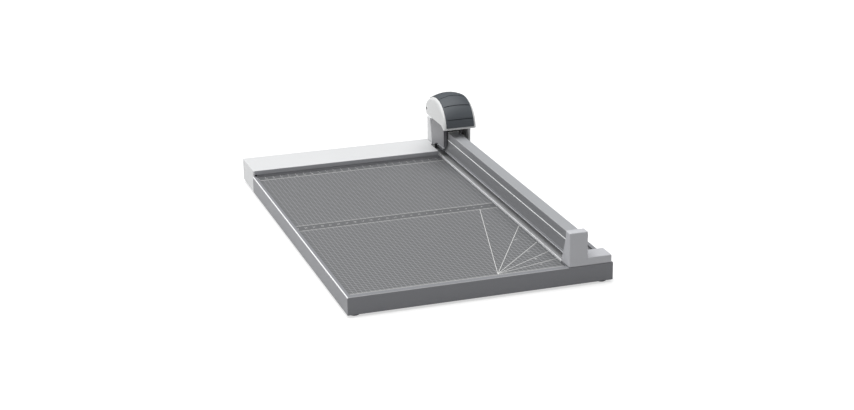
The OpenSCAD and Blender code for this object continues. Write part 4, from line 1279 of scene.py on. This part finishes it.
def back_bar():
    bar = block("white_bar", bar_low * MM, Vector((stop_high.x, bar_high.y, bar_high.z)) * MM)
    tail = block("tail", Vector((stop_high.x - TAIL_OVERLAP, frame_high.y - TAIL_DEPTH, bar_low.z)) * MM,
                 bar_high * MM)
    cut(bar, tail, "UNION")
    tidy_mesh(bar)
    round_edges(bar, BAR_RADIUS)
    inner = bar_low.x + BAR_WALL
    rooms = (
        ((inner, bar_low.y - PAST, bar_low.z - PAST),
         (bar_high.x + PAST, bar_high.y - BAR_WALL, frame_high.z)),
        ((inner, stop_high.y, frame_high.z - PAST),
         (stop_high.x - BAR_WALL, bar_high.y - BAR_WALL, bar_high.z - BAR_WALL)),
        ((inner, bar_low.y - PAST, frame_high.z - PAST),
         (bar_high.x + PAST, stop_high.y, stop_high.z)),
    )
    for low, high in rooms:
        cut(bar, block("room", Vector(low) * MM, Vector(high) * MM))
    shade_broad_faces(bar)
    return bar


finish_piece(back_bar(), "base", "white_plastic", WHITE_PLASTIC, "back_cover")

# %% [markdown]
# Screws that can be seen get a domed head with a cross in it. Their CAD form is a plain shank
# and head, which looks unfinished close by, so each is made again: a short rod is rounded at
# its outer edge and cut by two arms of a cross. Place, length and direction come from the CAD.

# %% Screws
CROSS_WIDTH = 0.8
CROSS_DEPTH = 1.1
CROSS_REACH = 1.2
HEAD_THICK = 1.6
HEAD_ROUND = 0.45
SHANK_SHARE = 0.9
SHANK_RADIUS = 1.45
HEAD_SIDES, SHANK_SIDES = 32, 20
LEFT_SCREWS_END = 12.0


def make_screw(low, high, axis, head_first):
    """A screw in a box along an axis. head_first says that its head is at the low end."""
    turn = {"X": 0, "Z": 2}[axis]
    middle = (low + high) / 2
    radius = max(high[i] - low[i] for i in range(3) if i != turn) / 2
    length = high[turn] - low[turn]
    thick = min(HEAD_THICK * MM, length / 2)
    outside = low[turn] if head_first else high[turn]

    def on_axis(along):
        point = middle.copy()
        point[turn] = along
        return point

    head = rod("screw", on_axis(low[turn] if head_first else high[turn] - thick), radius, thick, axis,
               HEAD_SIDES)
    open_with(head, "EDGE", lambda a, b: abs(a[turn] - outside) + abs(b[turn] - outside) < MM / 100)
    bpy.ops.mesh.bevel(offset=thick * HEAD_ROUND, segments=4, affect="EDGES")
    close()
    for side in (1, 2):
        arm = Vector((CROSS_WIDTH, CROSS_WIDTH, CROSS_WIDTH)) * MM
        arm[turn] = CROSS_DEPTH * MM
        arm[(turn + side) % 3] = radius * CROSS_REACH
        cut(head, block("arm", on_axis(outside) - arm, on_axis(outside) + arm))
    shank = rod("shank", on_axis(low[turn]), min(radius * SHANK_SHARE, SHANK_RADIUS * MM), length, axis,
                SHANK_SIDES)
    piece = join("screw", [head, shank])
    smooth(piece, 35)
    return piece


def make_screws(name, node, body, axis, material, head_first=lambda high: False):
    """One piece from all the screws of a node. head_first is asked about each one's high corner."""
    screws = [make_screw(low, high, axis, head_first(high)) for low, high in solids_of(node)]
    finish_piece(join(name, screws), body, "steel", material, node)


make_screws("side_screws", "cover_screws", "head", "X", DARK_STEEL,
            lambda high: high.x / MM < head_x + LEFT_SCREWS_END)
make_screws("skirt_screws", "shoe_screws", "head", "X", DARK_STEEL)
make_screws("bracket_side_screws", "rail_screws", "base", "X", STEEL)
make_screws("feet_screws", "foot_screws", "base", "Z", STEEL, lambda high: True)

# %% [markdown]
# Two springs lift the head on the carriage, and two lift the clamp at the brackets. All four
# are real coils. A curve with a round profile would make one too, but here a circle of wire is
# extruded upwards and turned round its axis step by step, as it is wound. Its ends lie closer,
# as on a real spring.

# %% Springs
WIRE = 0.4
END_SHARE = 0.15
END_CLIMB, MIDDLE_CLIMB = 0.3, 1.3
SPRING_TURNS = 5
WIRE_SIDES = 8
STEPS_PER_TURN = 24


def coil(name, node):
    """A spring of round wire that fills a CAD node's box."""
    low, high = (Vector(corner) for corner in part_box(node))
    wire = WIRE * MM
    middle = (low + high) / 2
    radius = (high.x - low.x) / 2 - wire
    rise = high.z - low.z - 2 * wire
    bpy.ops.object.select_all(action="DESELECT")
    bpy.ops.mesh.primitive_circle_add(vertices=WIRE_SIDES, radius=wire, rotation=(math.radians(90), 0, 0),
                                      location=(middle.x + radius, middle.y, low.z + wire))
    spring = settle(bpy.context.active_object)
    spring.name = name
    activate(spring)
    bpy.ops.object.mode_set(mode="EDIT")
    bpy.ops.mesh.select_all(action="SELECT")
    bpy.ops.mesh.edge_face_add()
    steps = SPRING_TURNS * STEPS_PER_TURN
    for step in range(steps):
        share = (step + 0.5) / steps
        at_end = share < END_SHARE or share > 1 - END_SHARE
        climb = rise / steps * (END_CLIMB if at_end else MIDDLE_CLIMB)
        bpy.ops.mesh.extrude_region_move(TRANSFORM_OT_translate={"value": (0, 0, climb)})
        bpy.ops.transform.rotate(value=2 * math.pi / STEPS_PER_TURN, orient_axis="Z",
                                 center_override=(middle.x, middle.y, 0))
    bpy.ops.mesh.select_all(action="SELECT")
    bpy.ops.mesh.normals_make_consistent(inside=False)
    close()
    smooth(spring, 60)
    return spring


for name, node, body, joint in (("front_coil", "return_spring_front", "carriage", "head_press"),
                                ("back_coil", "return_spring_back", "carriage", "head_press"),
                                ("front_clamp_coil", "clamp_spring_front", "base", "clamp_drop"),
                                ("back_clamp_coil", "clamp_spring_back", "base", "clamp_drop")):
    spring = coil(name, node)
    finish_piece(spring, body, "steel", STEEL, node)
    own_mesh(spring)


# %% [markdown]
# The other CAD pieces are right as they are: pins, rollers, posts, clips and hidden screws.
# Copies of them would add nothing that can be seen, so they keep their meshes and get a finish.

# %% Finishes for the pieces that stay
STAYING = {
    STEEL: ("back_cover_screws", "strip_screws", "bracket_screws", "clamp_pins", "roller_pins",
            "guide_posts", "housing_screws"),
    DARK_STEEL: ("post_clips",),
    HOUSING_PAINT: ("blade_axle",),
    PALE_PLASTIC: ("side_liners", "guide_roller_front", "guide_roller_back"),
    RUBBER: ("clamp_grip",),
    BLADE_STEEL: ("rotary_blade",),
}

for material, names in STAYING.items():
    for name in names:
        for slot in nodes[name].material_slots:
            slot.material = material
print("finished in place:", sum(len(names) for names in STAYING.values()))

# %% [markdown]
# The trimmer stands in a white studio. A white floor that is only lit needs so much light that
# the pale parts turn white as well. So the floor is grey to the lamps and adds its own white
# where the camera, a gloss or a glass looks at it, and it still takes the trimmer's shadow.

# %% Floor
FLOOR_SIZE = 12
FLOOR_GREY = 0.5
GLOW_NEAR, GLOW_FAR = 0.62, 1.0
GLOW_START, GLOW_END = 0.5, 1.6


def add_floor():
    bpy.ops.object.select_all(action="DESELECT")
    bpy.ops.mesh.primitive_plane_add(size=FLOOR_SIZE, location=(0, 0, 0))
    floor = bpy.context.active_object
    floor.name = "floor"
    settle(floor)
    material = bpy.data.materials.new("floor_white")
    material.use_nodes = True
    tree = material.node_tree
    tree.nodes.clear()
    output = put(tree, "ShaderNodeOutputMaterial")
    matt = put(tree, "ShaderNodeBsdfDiffuse")
    matt.inputs["Color"].default_value = (FLOOR_GREY, FLOOR_GREY, FLOOR_GREY, 1)
    glow = put(tree, "ShaderNodeEmission")
    glow.inputs["Color"].default_value = (1, 1, 1, 1)
    path = put(tree, "ShaderNodeLightPath").outputs
    seen = either(tree, path["Is Camera Ray"], path["Is Glossy Ray"], path["Is Transmission Ray"])
    away = put(tree, "ShaderNodeVectorMath", operation="LENGTH")
    feed(tree, away.inputs[0], put(tree, "ShaderNodeTexCoord").outputs["Object"])
    reach = remap(tree, away.outputs["Value"], GLOW_START, GLOW_END, GLOW_NEAR, GLOW_FAR)
    feed(tree, glow.inputs["Strength"], calc(tree, "MULTIPLY", seen, reach))
    added = put(tree, "ShaderNodeAddShader")
    tree.links.new(matt.outputs[0], added.inputs[0])
    tree.links.new(glow.outputs[0], added.inputs[1])
    tree.links.new(added.outputs[0], output.inputs["Surface"])
    floor.data.materials.append(material)
    print("floor:", FLOOR_SIZE, "m wide")


add_floor()

# %% [markdown]
# Soft light has no hard shadows and shows each face's own tone. A large softbox above gives the
# level, and a small one at the left lifts the left faces over the front ones. The world fills
# the shadows a little. To the camera alone it is white.

# %% Light
WORLD_LIGHT = 0.24
WORLD_SEEN = 0.78


def add_world():
    world = bpy.data.worlds.new("studio")
    bpy.context.scene.world = world
    world.use_nodes = True
    tree = world.node_tree
    tree.nodes.clear()
    output = put(tree, "ShaderNodeOutputWorld")
    background = put(tree, "ShaderNodeBackground")
    background.inputs["Color"].default_value = (1, 1, 1, 1)
    seen = put(tree, "ShaderNodeLightPath").outputs["Is Camera Ray"]
    strength = calc(tree, "ADD", WORLD_LIGHT, calc(tree, "MULTIPLY", seen, WORLD_SEEN))
    feed(tree, background.inputs["Strength"], strength)
    tree.links.new(background.outputs[0], output.inputs["Surface"])


def add_softbox(name, place, size, power):
    """A rectangular lamp that looks at the middle of the table."""
    bpy.ops.object.light_add(type="AREA", location=place)
    lamp = bpy.context.active_object
    lamp.name = name
    lamp.data.shape = "RECTANGLE"
    lamp.data.size, lamp.data.size_y = size
    lamp.data.energy = power
    lamp.rotation_euler = (-Vector(place)).to_track_quat("-Z", "Y").to_euler()
    print(name, power, "W")


add_world()
add_softbox("top_softbox", (-0.2, 0.1, 1.8), (2.4, 2.4), 50)
add_softbox("left_softbox", (-1.8, 0.3, 0.7), (1.2, 1.6), 9)
bpy.context.scene.view_settings.view_transform = "Standard"
